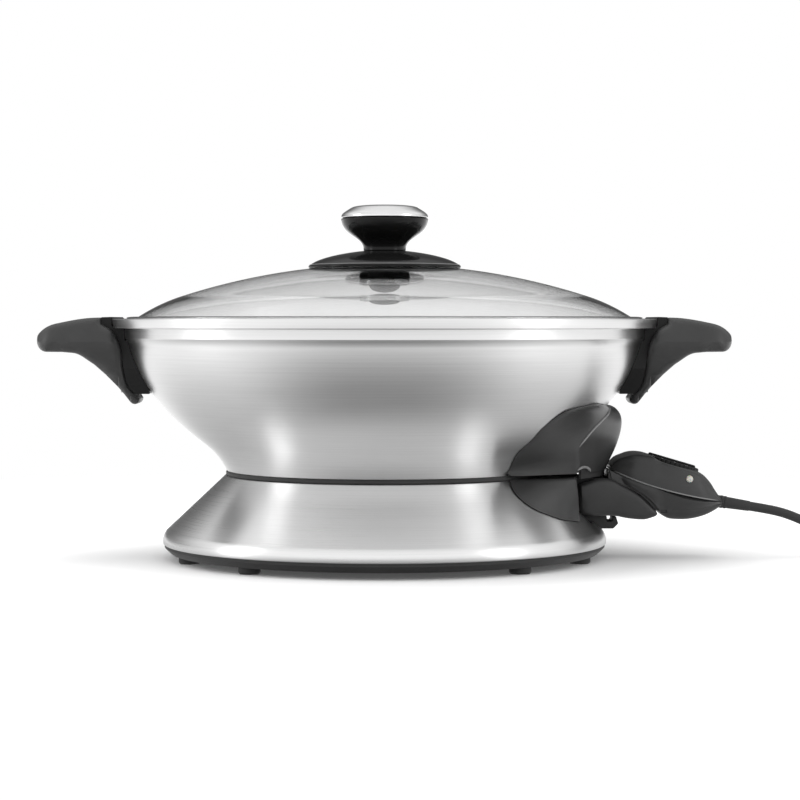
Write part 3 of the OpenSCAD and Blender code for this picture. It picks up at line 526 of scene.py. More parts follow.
def stands_for(piece, *nodes):
    """The piece takes the place of the nodes, with their body and finish."""
    return carried(piece, BODY_OF[nodes[0]], SLOT_OF[nodes[0]], nodes)


# ---- Bowl ----

FLANGE_R = high_mm("wok_bowl").x
FLANGE_Z = high_mm("wok_bowl").z
FLANGE_LOW = 158.9
COLLAR_R = 178.5
COLLAR_Z = 149.8
COLLAR_TOP = 157.7
FOOT_Z = low_mm("bowl_foot").z
WALL = [(176.5, COLLAR_Z), (171, 125), (155, 103), (122, 78)]
FOOT = [WALL[3], (115.5, 72.5), (110.8, 66), (108.5, FOOT_Z)]
BOWL_T = 2.2
FLOOR_Z = 66.0
SEAT_Z = FLANGE_Z - 2


def bowl_envelope(gap):
    """A cutter: all that the bowl's outside takes up, grown by gap."""
    wall = bezier(WALL, 32)[::-1]
    foot = bezier(FOOT, 12)[::-1]
    side = [(r + gap * 0.8, z - gap * 0.6) for r, z in [*foot, *wall[1:]]]
    edge = [(COLLAR_R, COLLAR_Z + gap), (COLLAR_R, COLLAR_TOP - 0.5), (FLANGE_R, FLANGE_LOW + 0.7)]
    edge = [(r + gap, z - gap) for r, z in edge]
    top = [(FLANGE_R + gap, FLANGE_Z + gap), (0, FLANGE_Z + gap)]
    return lathe("cutter", [(0, FOOT_Z - gap), *side, *edge, *top])


def bowl_edge():
    """The bowl's upper edge, outside to inside: collar, flange, and the shelf that the lid sits on."""
    collar = [(176.4, COLLAR_Z), (COLLAR_R, COLLAR_Z + 1.1, 0.6), (COLLAR_R, COLLAR_TOP, 0.5)]
    edge = rounded([*collar, (FLANGE_R, FLANGE_LOW, 0.4)])[1:]
    edge += arc((FLANGE_R - 0.9, FLANGE_Z - 0.9), 0.9, 0, 90, 8)
    edge += arc((178.6, FLANGE_Z - 0.6), 0.6, 90, 180, 4)
    return [*edge, *arc((177.4, SEAT_Z + 0.6), 0.6, 0, -90, 3), *arc((175.1, SEAT_Z - 0.8), 0.8, 90, 180, 4)]


def make_bowl():
    """The spun bowl: flat floor, curved wall, collar, and a flange with a shelf for the lid."""
    inner = [(r - 0.75 * BOWL_T, z + 0.6 * BOWL_T) for r, z in WALL]
    floor = [inner[3], (inner[3][0] - 11, inner[3][1] - 8.4), (95, FLOOR_Z), (75, FLOOR_Z)]
    under = [WALL[3], (110.9, 69.5), (96, FLOOR_Z - BOWL_T), (75, FLOOR_Z - BOWL_T)]
    skirt = [(112.2, 70.2), (110.4, 68.4), (108.6, 65.6), (107.1, FOOT_Z + 1.8), (103.8, FOOT_Z + 1.8)]
    skirt += [(103.8, FOOT_Z + 0.3), (104.1, FOOT_Z)]
    outside = [*bezier(FOOT, 14)[::-1], *bezier(WALL, 40)[-2:0:-1]]
    inside = [*bezier(inner, 40), *bezier(floor, 24)[1:], (0, FLOOR_Z)]
    outline = [(0, FLOOR_Z - BOWL_T), *bezier(under, 24)[:6:-1], *skirt, *outside, *bowl_edge(), *inside]
    return stands_for(lathe("bowl", outline, 256), "wok_bowl", "bowl_foot")


# ---- Base ----

SKIRT_R = high_mm("base_shell").x
SKIRT_Z = low_mm("base_shell").z
CONE_R = 110.4
CONE_Z = high_mm("base_shell").z
CONE_ANGLE = 46.3
BEND_R = 10
BEND = (SKIRT_R - BEND_R, 13.2)
GATE = 30.8


def make_base():
    """The steel cone with its rounded skirt and turned-in lower edge, open at the right."""
    sheet = 1.2
    outer = [(104.6, CONE_Z), *arc((CONE_R - 1.2, CONE_Z - 1.2), 1.2, 90, CONE_ANGLE, 4)]
    outer += [*arc(BEND, BEND_R, CONE_ANGLE, 0, 12), *arc((SKIRT_R - 0.8, SKIRT_Z + 0.8), 0.8, 0, -90, 4)]
    inner = [(SKIRT_R - 2.2, SKIRT_Z), (SKIRT_R - sheet, 12.2), *arc(BEND, BEND_R - sheet, 0, CONE_ANGLE, 12)]
    inner += [(CONE_R - 0.6, CONE_Z - sheet - 0.3), (104.6, CONE_Z - sheet)]
    shell = lathe("base_cone", outer + inner, 256)
    gate = block("gate", (95, -GATE, 25.2), (165, GATE, 85), 1.5)
    slot = block("slot", (95, -11, 21.6), (165, 11, 31.6), 1.5)
    return stands_for(carve(shell, gate, slot), "base_shell")


# ---- Lid ----

GLASS_TOP = high_mm("lid_glass").z
GLASS_R = high_mm("lid_glass").x
BALL_R = 450
GLASS_T = 4
DROP = 4.2
PLATE_R = high_mm("knob_plate").x
PLATE_Z = 201.0
BOLT_R = high_mm("knob_bolt").x + 0.2
KNOB_R = high_mm("knob_body").x
STEM_Z = low_mm("knob_body").z
CAP_LOW = low_mm("knob_cap").z
CAP_TOP = high_mm("knob_cap").z


def dome(r, ball=BALL_R):
    """Height of the glass at radius r: a ball's surface that turns down near the rim."""
    return GLASS_TOP - BALL_R + math.sqrt(ball * ball - r * r) - DROP * max((r - 140) / 32, 0) ** 2


def make_glass():
    """The glass dome, with a hole for the knob's bolt."""
    hole_r, steps = 5.2, 64
    radii = [hole_r + (GLASS_R - hole_r) * i / steps for i in range(steps + 1)]
    top = [(r, dome(r)) for r in radii]
    under = [(r, dome(r, BALL_R - GLASS_T)) for r in reversed(radii)]
    return stands_for(lathe("glass_dome", top + under, 256), "lid_glass")


def make_rim():
    """The steel rim folded round the edge of the glass."""
    lip_r, rim_r, low_z = GLASS_R - 2.4, high_mm("lid_rim").x, low_mm("lid_rim").z
    lip_z = dome(lip_r)
    outline = rounded([(lip_r, low_z), (rim_r, low_z, 0.7), (rim_r, lip_z - 1.2, 1.4)], 6)
    fold = [(rim_r - 0.6, 0.1), (rim_r - 2.2, 0.8), (lip_r + 2, 0.9), (lip_r + 0.4, 0.6)]
    outline += [*bezier([(r, lip_z + up) for r, up in fold], 8), (lip_r, lip_z + 0.4)]
    gap, ball = 0.05, BALL_R - GLASS_T
    outline += [(lip_r, lip_z + gap), (GLASS_R + gap, dome(GLASS_R) + gap)]
    outline += [(GLASS_R + gap, dome(GLASS_R, ball) - gap), (lip_r, dome(lip_r, ball) - gap)]
    return stands_for(lathe("steel_rim", outline, 256), "lid_rim")


def make_plate():
    """The knob's base plate, and a ring in lighter grey round its edge: a painted highlight line."""
    under = [(r, dome(r) + 0.1) for r in [BOLT_R + (PLATE_R - BOLT_R) * i / 10 for i in range(10)]]
    edge = rounded([
        (PLATE_R - 1, dome(PLATE_R - 1) + 0.1), (PLATE_R, dome(PLATE_R) + 0.3, 0.8),
        (PLATE_R, PLATE_Z - 0.1, 0.5), (PLATE_R - 1.1, PLATE_Z + 0.1), (PLATE_R - 1.2, PLATE_Z + 0.6),
    ])
    crown = bezier([(PLATE_R - 1.6, PLATE_Z + 0.7), (47, 204.6), (36, 208.6), (15.4, STEM_Z - 0.1)], 20)
    stands_for(lathe("knob_base_plate", [*under, *edge, *crown, (BOLT_R, STEM_Z - 0.1)]), "knob_plate")
    line = rounded([
        (PLATE_R - 1.6, PLATE_Z + 0.1), (PLATE_R - 0.6, PLATE_Z, 0.3), (PLATE_R - 0.7, PLATE_Z + 0.6, 0.3),
        (PLATE_R - 1.6, PLATE_Z + 0.7),
    ])
    # The ring takes the lighter grey: a painted highlight.
    carried(lathe("plate_edge", line), "lid", "knob_gloss", finish="edge")


def make_knob():
    """The waisted knob and the steel cap on top of it."""
    foot = rounded([(0, STEM_Z), (14.6, STEM_Z, 0.5), (14.3, 212.4)], 4)[:-1]
    side = bezier([(14.5, 212.6), (15, 220.6), (28.4, 221.4), (KNOB_R - 0.2, 231.6)], 26)
    brim = [(KNOB_R, 232.3), (KNOB_R, 232.9), (KNOB_R - 0.5, CAP_LOW - 0.3)]
    top = bezier([(KNOB_R - 1.6, CAP_LOW - 0.1), (26, 237.4), (18, 240.6), (0, 241)], 14)
    stands_for(lathe("knob", foot + side + brim + top), "knob_body")

    inner = bezier([(KNOB_R - 1.4, CAP_LOW + 0.1), (26, 237.7), (18, 240.9), (0, CAP_TOP - 1.2)], 14)
    outer = bezier([(0, CAP_TOP), (12, CAP_TOP), (20, CAP_TOP - 0.2), (22.8, 240.6)], 12)[:-1]
    outer += bezier([(22.8, 240.6), (27, 238), (KNOB_R + 0.1, 236.4), (KNOB_R - 0.1, CAP_LOW + 1)], 12)
    lip = arc((KNOB_R - 0.6, CAP_LOW + 0.6), 0.55, 20, -90, 5)
    # The cap takes the darker copy of the rim's steel: painted shade.
    carried(lathe("steel_cap", inner + outer + lip), "lid", "rim_steel", ("knob_cap",), finish="cap_steel")


def make_under_knob():
    """Gasket, washer and domed nut under the glass."""
    low_z, high_z = low_mm("knob_nut").z, high_mm("knob_nut").z
    nut = bezier([(0, low_z), (5.5, low_z), (10.2, low_z + 1.6), (10.8, high_z)], 14)
    stands_for(lathe("domed_nut", [*nut, (0, high_z)], 96), "knob_nut")
    for node, edge in (("knob_gasket", 1.2), ("knob_washer", 0.8)):
        low, high = low_mm(node), high_mm(node)
        ring = rounded([(BOLT_R, low.z), (high.x, low.z, edge), (high.x, high.z, edge), (BOLT_R, high.z)])
        stands_for(lathe(node + "_ring", ring, 128), node)


# ---- Handles ----

REACH = high_mm("handle_right").x
HANDLE_W = high_mm("handle_right").y
CORNER_R = 16
TIP_R = 8.1
TIP = (REACH - TIP_R, 150.2)
RIDGE_Z = 149.0
SCREW_Y, SCREW_Z = 11, 118
TAPER = bezier([(HANDLE_W, 147), (45, 134), (26, 124), (18.5, 104)], 24)


def handle_half(x, z):
    """Half of the handle's width: round corners in plan, a ridge along the side, and a narrow foot."""
    past = min(max(x - (REACH - CORNER_R), 0), CORNER_R - 0.01)
    plan = HANDLE_W - CORNER_R + math.sqrt(CORNER_R**2 - past**2)
    widths, heights = zip(*TAPER[::-1])
    foot = float(np.interp(z, heights, widths))
    lean = 0.42 * (z - RIDGE_Z) if z > RIDGE_Z else 0.12 * (RIDGE_Z - z)
    return min(plan, foot) - lean


def grip_outline():
    """The right handle from the side: up along the bowl, over the top, round the tip, and back to the foot."""
    outline = [tuple(p) for p in through([
        (169.8, 113.5), (173.4, 117.5), (175, 123), (176.2, 134), (177.4, 144), (179.6, 150.5), (183.5, 156.5),
        (190.6, 161),
    ], 3)]
    outline += rounded([(190.6, 161), (190.6, 165.2, 1.4), (194, 165.15)], 4)[1:-1]
    outline += bezier([(194, 165.15), (204, 164.9), (213, 162.8), (220.6, 161.2)], 10)[:-1]
    tip = arc(TIP, TIP_R, 22, -90, 20)
    outline += [*bezier([(220.6, 161.2), (226.4, 160), (230.4, 157.4), tip[0]], 10)[:-1], *tip, (216, 142)]
    outline += bezier([(211, 141.5), (207, 141.4), (204.4, 140), (201.6, 137.8)], 8)
    outline += [(198.7, 135.6), (195.8, 133.5), (188.7, 126.4), (181.4, 117.9), (177.6, 112.8)]
    return outline + arc((171, 109.6), 3.6, -38, -190, 14)


def make_handles():
    """A hooded grip on each side, hollow below, with two screw holes in its foot."""
    fold = [(x, RIDGE_Z) for x in np.arange(183.0, REACH - 4.9, 2.0)]
    grip = pillow("grip_right", grip_outline(), handle_half, 4.5, 2.0, fold)
    roof = bezier([(229, 150), (229, 156), (224, 157.6), (212, 158.4)], 8)
    hollow = [(198, 100), (229, 100), *roof, (198, 158.4)]
    carve(grip, bowl_envelope(0.3), pillow("pocket", hollow, lambda x, z: HANDLE_W - 9, 2, 4))
    for y in (-SCREW_Y, SCREW_Y):
        for start, radius in ((150, 2.2), (177.3, 4.4)):
            carve(grip, rod("bore", (start, y, SCREW_Z), (205, y, SCREW_Z), radius))
    stands_for(mirrored(grip, "grip_left"), "handle_left")
    stands_for(grip, "handle_right")


# ---- Cowl, housing and release lever ----

# Rows over the cowl's far half, bottom to top. In each: by the bowl, halfway, on the crease, halfway, near the
# middle, and at the middle.
COWL = [
    [(84.5, 75.5, 61), (107, 66.6, 61), (128.5, 54.5, 61), (140.2, 35.5, 61), (150, 13, 61), (151.7, 0, 61)],
    [(82.4, 76.2, 67), (106, 68.6, 69), (128.8, 57.4, 69.5), (142.2, 36, 69), (153.6, 13, 69), (155.3, 0, 69)],
    [(90.6, 88.6, 82.1), (109.6, 76.4, 79.6), (128.2, 61.8, 77.5), (144, 37, 77.5), (157.4, 12, 77.5),
     (159.1, 0, 77.5)],
    [(100.5, 96, 91.6), (119.2, 76.4, 89.8), (137.6, 54, 88.8), (149.6, 33.6, 87), (160.6, 12, 87),
     (162, 0, 87)],
    [(114.6, 97.8, 101.4), (130, 73, 98.6), (145.6, 43.6, 96), (154, 28, 94.5), (161.8, 11, 94.6),
     (162.8, 0, 94.6)],
    [(125.5, 90.6, 105.2), (139, 63, 103), (151.2, 32, 100.6), (156.6, 20, 100.4), (160.4, 9, 100.4),
     (161.2, 0, 100.4)],
    [(140, 70, 108), (147.4, 46, 106.7), (152.8, 22.6, 104.9), (154.8, 14, 104.6), (156.2, 7, 104.5),
     (156.6, 0, 104.5)],
    [(134, 68, 108.6), (140, 45, 107.7), (145, 22.4, 106.3), (147, 14, 106), (148.6, 7, 105.9),
     (149, 0, 105.9)],
]
ARCH_X, ARCH_Z = 133, 60.6


def arch():
    """The edge of the arched recess low on the cowl's near side."""
    spots = [(ARCH_X + 5.4 * x, ARCH_Z + 4.6 * z) for x, z in arc((0, 0), 1, 0, 180, 16)]
    return [(x, -(48.6 - 1.4 * (x - ARCH_X) + 0.33 * (z - 61)), z) for x, z in spots]


def make_cowl():
    """The cover over the socket, from the bowl's wall round the front and back to the wall."""
    rows = []
    for row in COWL:
        first = Vector(row[0])
        inside = first - Vector((first.x, first.y, 0)).normalized() * 6 + Vector((0, 0, 1.5))
        rows.append(both_sides([tuple(inside), *row]))
    cowl = sheet_through("cowl", rows, 6, 6, 2.5, (3, 9))
    edge = arch()
    edge += [(ARCH_X - 5.4, edge[-1][1], 55), (ARCH_X + 5.4, edge[0][1], 55)]
    recess = loft("recess", [[(x, y + step, z) for x, y, z in edge] for step in (-20, 4)])
    stands_for(carve(cowl, bowl_envelope(0.3), recess), "socket_cowl")


def add_cowl_highlights():
    """Beads along the cowl's two creases and round the lip of its recess, in a lighter grey: painted
    highlights.
    """
    crease = [tuple(p) for p in through([row[2] for row in COWL[1:-1]], 6)][7:]
    lines = {
        "ridge_far": ([(x, y, z) for x, y, z in crease], 0.8),
        "ridge_near": ([(x, -y, z) for x, y, z in crease], 0.8),
        "recess_lip": (arch()[1:-3], 0.9),
    }
    for name, (line, radius) in lines.items():
        # The beads take the lighter grey: painted highlight lines.
        carried(bead(name, line, radius), "bowl", "grey_plastic", finish="edge")


def add_cowl_inside():
    """The skirt inside the cowl's lower edge, and a dark wall at the back of its recess: painted shade."""
    skirt = []
    for z, lean in ((57.2, 0.0), (61, 0.0), (66, 1.4), (71, 2.8)):
        half = [(131.4, 48.3 + lean), (139 + lean * 0.6, 34.9 + lean * 0.4)]
        half += [(149.6 + lean, 12.8), (151.2 + lean, 0)]
        skirt.append(both_sides([(x, y, z) for x, y in half]))
    carried(sheet_through("inner_skirt", skirt, 3, 6, 1.8), "bowl", "grey_plastic")
    line = ((119, 56.8), (126, 52.8), (130.4, 47.6), (136, 37.4))
    back = [[(x, -(y + 0.33 * (z - 61.8)), z) for x, y in line] for z in (61.8, 66, 71)]
    # The recess's back wall is darker plastic than the cowl: painted shade in the recess.
    carried(sheet_through("recess_back", back, 3, 6, 1.5), "bowl", "dark_plastic")


def cone_envelope(gap):
    """A cutter: all that the base's steel cone takes up, grown by gap."""
    bend = [(r + gap, z + gap) for r, z in arc(BEND, BEND_R, 0, CONE_ANGLE, 12)]
    top = [(CONE_R + gap, CONE_Z), (CONE_R + gap, CONE_Z + 40), (0, CONE_Z + 40)]
    return lathe("cutter", [(0, SKIRT_Z), (SKIRT_R + gap, SKIRT_Z), *bend, *top], 256)


def housing_rows(top_z, low_z):
    """Level outlines of the housing's belly, downwards, with a rounded upper edge and a swell on each side."""
    top = [(82.7, 73), (96, 71.8), (108, 68.2), (118.5, 62.6), (126.8, 55.2)]
    low = [(84, 98), (98, 89.4), (108, 81.2), (119, 70.6), (130.2, 53.4)]
    rows = []
    for share, inset in ((0, 1.4), (0.006, 0.7), (0.02, 0.2), (0.05, 0), *[(k / 12, 0) for k in range(1, 13)]):
        swell = Vector((0.35, 1)) * (15.0 * share * (1 - share) * (1 - share) - inset * 0.7)
        side = [Vector(a).lerp(Vector(b), share) + swell for a, b in zip(top, low)]
        curve = [tuple(p) for p in through(side, 5)]
        front = rounded([curve[-2], (*curve[-1], 1.6), (curve[-1][0], 0)], 4)[1:-1]
        z = top_z + (low_z - top_z) * share
        rows.append(both_sides([(x, y, z) for x, y in ((70, 60), *curve[:-1], *front)]))
    return rows


def make_housing():
    """The cover that frames the opening in the cone: a belly on each side of a straight-walled gate."""
    top_z = high_mm("lower_housing").z
    belly = carve(loft("housing", housing_rows(top_z, 29.0)), cone_envelope(0.3))
    wing = GATE - 0.3
    carve(belly, block("liner", (106, -wing, 25.4), (130.2, wing, top_z - 0.2), 0.8), operation="UNION")
    carve(belly, block("gate", (90, 2.5 - wing, 28.4), (150, wing - 2.5, 90), 0.8))
    stands_for(belly, "lower_housing")


LEVER_TOP = [(130.8, 52.4), (142, 55.4), (150.6, 56), (156, 54.6), (161, 51.8), (172, 46.2), (179.5, 40),
             (185, 34)]
LEVER_TIP = [(185.9, 32.6), (186.4, 31.4), (185.4, 29.8), (183.4, 29.4)]
LEVER_LOW = [LEVER_TIP[-1], (176.8, 27.6), (166, 28.4), (156, 30.2), (145, 30), (130.8, 29.8)]
LEVER_W = high_mm("release_lever").y
PIVOT = (138, 49)


def on_hinge(name, start, end, radius):
    """A bar along the lever's hinge, between two values of Y."""
    return rod(name, (PIVOT[0], start, PIVOT[1]), (PIVOT[0], end, PIVOT[1]), radius)


def make_lever():
    """The release lever, a trough hinged on the socket, and its two hinge pins."""
    outline = [tuple(p) for p in through(LEVER_TOP, 4)] + bezier(LEVER_TIP, 5)
    outline += [tuple(p) for p in through(LEVER_LOW, 3)][1:]
    lever = pillow("lever", outline,
                   lambda x, z: LEVER_W - 0.06 * max(44 - z, 0) - 1.5 * max((x - 150) / 36, 0) ** 2, 4)
    inside = [(120, 33), (156, 33.2), (166, 31.6), (177, 31.2), (200, 31.2), (200, 80), (120, 80)]
    trough = pillow("trough", inside, lambda x, z: LEVER_W - 3.9, 1, 5)
    carve(lever, trough, block("slot", (120, -13, 20), (165, 13, 40), 1.5))
    carve(lever, *[on_hinge("bore", side * 20, side * (LEVER_W - 0.7), 1.95) for side in (-1, 1)])
    stands_for(lever, "release_lever")
    pins = on_hinge("hinge_pins", 1 - LEVER_W, -20.6, 1.85)
    carve(pins, on_hinge("pin", 20.6, LEVER_W - 1, 1.85), operation="UNION")
    stands_for(pins, "lever_pins")


def make_tab():
    """The base's hooked tab under the lever."""
    low = low_mm("lock_tab").z - 1.6
    outline = rounded([
        (118, low), (157, low, 1.6), (160.4, low + 3.4, 1.4), (159, 28.6, 0.7), (156.6, 28.6, 0.6),
        (156, 25.6, 0.6), (152.8, 25.6, 0.6), (152, 32, 0.4), (132, 32, 0.4), (131.2, 25.3), (118, 25.3),
    ])
    stands_for(pillow("hooked_tab", outline, lambda x, z: 10, 0.8, 2), "lock_tab")


# ---- Heat control ----

SEAM = bezier([(152, 62.4), (172, 52), (198, 44.4), (232.5, 39)], 60)
DIAL_R = 19.5
TILT = 16.4
DIAL_AT = (198.0, 0.0, 66.48)
DIAL_H = 5.0
LENS = (207.0, -27.2, 55.6)
COVER_T = 2.2
# Along X: half width at the seam, half width and height at the top, and the top edge's radius.
UPPER = [
    (154.6, 17, 16.4, 63.4, 2), (156.4, 18.6, 17.4, 65.8, 2.4), (159.5, 20.8, 19.4, 68.6, 3),
    (164, 23.6, 22, 70.4, 3.6), (169, 26.4, 24.4, 71.9, 4.2), (174, 27.8, 25.8, 72.3, 4.6),
    (179, 28.5, 26.5, 71.7, 4.4), (182.4, 28.8, 26.9, 70.7, 3.8), (185, 28.9, 27.1, 68.9, 3.4),
    (188, 29, 27.2, 67.3, 3.2), (194, 29.1, 27.3, 65.3, 3.2), (204, 28.4, 26.6, 62.6, 3.4),
    (212, 26.6, 24.8, 60.4, 3.6), (217, 25, 22.6, 58.2, 4.4), (222.4, 22.2, 19, 52.8, 4.4),
    (226.2, 18.6, 15.6, 47.2, 3), (229.6, 14, 11.4, 42.6, 1.6), (231.5, 9.4, 7.4, 40.4, 0.6),
]
# Along X: half width at the seam and at the bottom, height of the bottom, and its edge's radius.
LOWER = [
    (155.2, 16.9, 16.4, 56.6, 1), (158, 19.2, 18.8, 54.8, 1), (161, 21.4, 21, 53.2, 1),
    (166, 24.4, 24, 50.4, 1), (172, 26.8, 26.4, 47.4, 1), (176, 27.6, 27, 44.8, 1),
    (180, 28.2, 27.2, 41.4, 1.2), (184, 28.4, 26.6, 37.2, 2), (187, 28.4, 24.4, 33, 4),
    (190, 28.4, 22.8, 30, 5.6), (194, 28.4, 22, 28, 6.4), (199, 28.1, 21.4, 27.4, 6.6),
    (206, 27.2, 20.8, 27.3, 6.6), (213, 25.4, 19.4, 28.3, 6), (219, 23, 17.4, 29.9, 5.2),
    (224, 19.6, 14.6, 31.9, 4.2), (228.4, 15.4, 11.4, 34.2, 3), (231.5, 9.2, 8, 36, 1.4),
]


def seam_z(x):
    return float(np.interp(x, *zip(*SEAM)))


def cover_side(x, low_w, top_w, top_z, edge, gap, wall, past):
    """Half a cover's cross-section as (y, z): from the seam out, round the edge, and on to the middle."""
    seam, up = seam_z(x) + gap, math.copysign(1, gap)
    top_z, low_w, top_w = top_z - up * wall, low_w - wall, top_w - wall
    edge = max(edge - wall, 0.5)
    ledge = 2.4 * math.sin(math.pi * min(max((x - 184) / 46, 0), 1)) if gap < 0 and not wall else 0
    side = [(low_w - ledge, seam - up * past), (low_w, seam + up * 0.8 * ledge)]
    flat_w, turn_z = top_w - edge, top_z - up * edge
    for t in (0.3, 0.5, 0.7, 0.85):
        side.append((low_w + (top_w - low_w) * t + 0.8 * math.sin(math.pi * t), seam + (turn_z - seam) * t))
    side += [(flat_w + y, turn_z + up * z) for y, z in arc((0, 0), edge, 0, 90, 8)]
    return side + [(flat_w * t, top_z + up * 0.25 * (1 - t * t)) for t in (0.6, 0.2)]


def cover(name, stations, gap, wall=0.0, past=0.0):
    """One cover of the heat control, or its hollow: wall thinner all round, and past the seam by past."""
    rows = []
    for x, low_w, top_w, top_z, edge in through(stations, 4):
        if wall and abs(top_z - seam_z(x) - gap) < wall + 2.5:
            continue
        side = cover_side(x, low_w, top_w, top_z, edge, gap, wall, past)
        rows.append(both_sides([(x, y, z) for y, z in side]))
    start, end = rows[0][0][0] + wall, rows[-1][0][0] - wall
    rows[0] = [(start, y, z) for _, y, z in rows[0]]
    rows[-1] = [(end, y, z) for _, y, z in rows[-1]]
    return loft(name, [row for row in rows if start <= row[0][0] <= end])


def on_dial(piece, height=0.0, spin=0.0):
    """Moves a piece made round the Z axis onto the dial's axis, height above the dial's top."""
    piece.data.transform(Matrix.Translation((0, 0, height * MM)))
    return turned(piece, DIAL_AT, TILT, spin)


def exit_at(distance):
    """A point on the cord's way out of the heat control."""
    slope = math.radians(EXIT_SLOPE)
    return (EXIT[0] + distance * math.cos(slope), 0, EXIT[2] - distance * math.sin(slope))


def cord_bore():
    return rod("bore", exit_at(-26), exit_at(10), 4.3)


def make_top_cover():
    """The top cover, with the dial's round seat and a hole for the lamp's lens."""
    top = cover("top_cover", UPPER, 0.2)
    hollow = cover("hollow", UPPER, 0.2, COVER_T, 3.0)
    boss_r, seat_r = DIAL_R + 2.1, DIAL_R + 0.5
    carve(hollow, on_dial(lathe("boss", [(0, 0), (boss_r, 0), (boss_r, 30), (0, 30)], 96), -DIAL_H - 1.4))
    seat = [(0, 20), (0, 0.4), (seat_r, 0.4), (seat_r, DIAL_H - 1.2), (seat_r + 0.7, DIAL_H - 0.4)]
    carve(top, hollow, on_dial(lathe("seat", [*seat, (seat_r + 3.5, 20)], 128), -DIAL_H))
    carve(top, on_dial(rod("bore", (0, 0, -20), (0, 0, 10), 2.56)))
    carve(top, rod("bore", (LENS[0], -40, LENS[2]), (LENS[0], -10, LENS[2]), 2.5), cord_bore())
    stands_for(top, "probe_top")


def add_seam_highlights():
    """A thin bead along each side of the top cover's lower edge, in a lighter grey: a painted highlight line.
    """
    stations, widths, *_ = zip(*UPPER)
    line = [(x, float(np.interp(x, stations, widths)) + 0.1, seam_z(x) + 0.6) for x in np.arange(156, 230, 3.0)]
    for side, way in (("far", 1), ("near", -1)):
        piece = bead("seam_highlight_" + side, [(x, way * y, z) for x, y, z in line], 0.45)
        # The lighter grey paints the highlight along the seam.
        carried(piece, "heat_control", "grey_plastic", finish="edge")


def make_nose():
    """The hollow nose of the bottom cover, which goes into the socket."""
    start, end = 152.4, 192
    half = high_mm("socket_shroud").y
    seam = [(x, seam_z(x) - 0.2) for x in np.arange(end, start - 0.4, -2.0)]
    under = [(start, 41), (start + 1, 38.6), (160, 35.4), (168, 34), (end, 34)]
    nose = pillow("nose", [*seam, (start, seam_z(start) - 0.2), *under], lambda x, z: half, 1, 3)
    inner = [(x, seam_z(x) + 4) for x in (190, 154.6)] + [(154.6, 42), (161, 37.8), (169, 36.2), (190, 36.2)]
    return carve(nose, pillow("inner", inner, lambda x, z: half - COVER_T, 0.5, 3))


def make_bottom_cover():
    """The bottom cover with its nose, and holes for the sensor rod, the terminal pins and the cord."""
    bottom = cover("bottom_cover", LOWER, -0.2)
    carve(bottom, cover("hollow", LOWER, -0.2, COVER_T, 3.0))
    carve(bottom, make_nose(), block("front", (137, -19.5, 39), (153, 19.5, 53), 1.0), operation="UNION")
    carve(bottom, block("latch_slot", (187.4, -40, 32.2), (192.4, -20.4, 34.4), 0.5))
    rod_z, pin_y = high_mm("sensor_rod").z - 3.2, 12.2
    carve(bottom, rod("bore", (130, 0, rod_z), (158, 0, rod_z), 3.3), cord_bore())
    carve(bottom, *[rod("bore", (130, y, rod_z), (151, y, rod_z), 4.1) for y in (-pin_y, pin_y)])
    stands_for(bottom, "probe_bottom")


def make_dial():
    """The dial: a knurled edge, and a grip bar across the top."""
    knurls, per_knurl = 36, 8
    turns = knurls * per_knurl
    edge = [(0.5 - DIAL_H, -0.5), (0.9 - DIAL_H, 0.0), (-1.1, 0.0), (-0.5, -0.2), (-0.1, -0.7), (0.0, -1.4)]
    rows = []
    for height, inset in edge:
        depth = 0.55 if inset > -0.3 else 0.0
        row = []
        for k in range(turns):
            r = DIAL_R + inset - depth * max(0.0, math.cos(math.tau * k / per_knurl)) ** 2
            row.append((r * math.cos(math.tau * k / turns), r * math.sin(math.tau * k / turns), height))
        rows.append(row)
    dial = on_dial(loft("dial_disc", rows))
    carve(dial, on_dial(rod("bore", (0, 0, -20), (0, 0, -1.4), 2.52)))
    bar = rounded([(-17, -0.5), (17, -0.5), (16.4, 1.4, 1), (-16.4, 1.4, 1)])
    carve(dial, on_dial(pillow("grip_bar", bar, lambda x, z: 2.4, 0.9, 1.5)), operation="UNION")
    stands_for(dial, "dial")


def add_dial_print():
    """The pointer line on the grip bar, and nine ticks round the top."""
    mark = block("pointer_line", (9.5, -0.5, 1.3), (16, 0.5, 1.45), 0.05)
    carried(on_dial(mark), "dial", "dark_plastic", finish="print")
    for k in range(1, 10):
        tick = block("tick_%d" % k, (DIAL_R - 4, -0.25, -0.1), (DIAL_R - 1.8, 0.25, 0.05), 0.02)
        carried(on_dial(tick, 0, 30 + 30 * k), "dial", "dark_plastic", finish="print")


def make_lens():
    """The indicator's milky lens with a domed front."""
    outline = [(0, 1.2), (0.8, 1.15), (1.6, 0.85), (2.2, 0.35), (2.4, 0), (2.4, -4.8), (0, -4.8)]
    lens = lathe("domed_lens", outline, 48)
    place = Matrix.Translation(Vector((LENS[0], LENS[1] + 0.4, LENS[2])) * MM)
    lens.data.transform(place @ Matrix.Rotation(math.radians(90), 4, "X"))
    stands_for(lens, "indicator_lens")


def make_relief():
    """The tapered sleeve where the cord leaves the heat control, with two soft rings at its root."""
    bore = CORD_D / 2 + 0.05
    outline = rounded([
        (bore, -9), (4.2, -9), (4.2, 0.5), (4.4, 0.6, 0.2), (4.4, 2.3, 0.2), (4.1, 2.5), (4.1, 3.1),
        (4.3, 3.2, 0.2), (4.3, 4.6, 0.2), (4.0, 4.9), (3.9, 8), (3.72, 14), (3.5, RELIEF, 0.3), (bore, RELIEF),
    ], 3)
    return stands_for(turned(lathe("relief", outline, 64), EXIT, 90 + EXIT_SLOPE), "strain_relief")


def box_outline(half_w, half_h, corner, steps):
    """A rectangle round zero with rounded corners."""
    signs = ((-1, -1), (1, -1), (1, 1), (-1, 1))
    return rounded([(half_w * w, half_h * h, corner) for w, h in signs], steps)


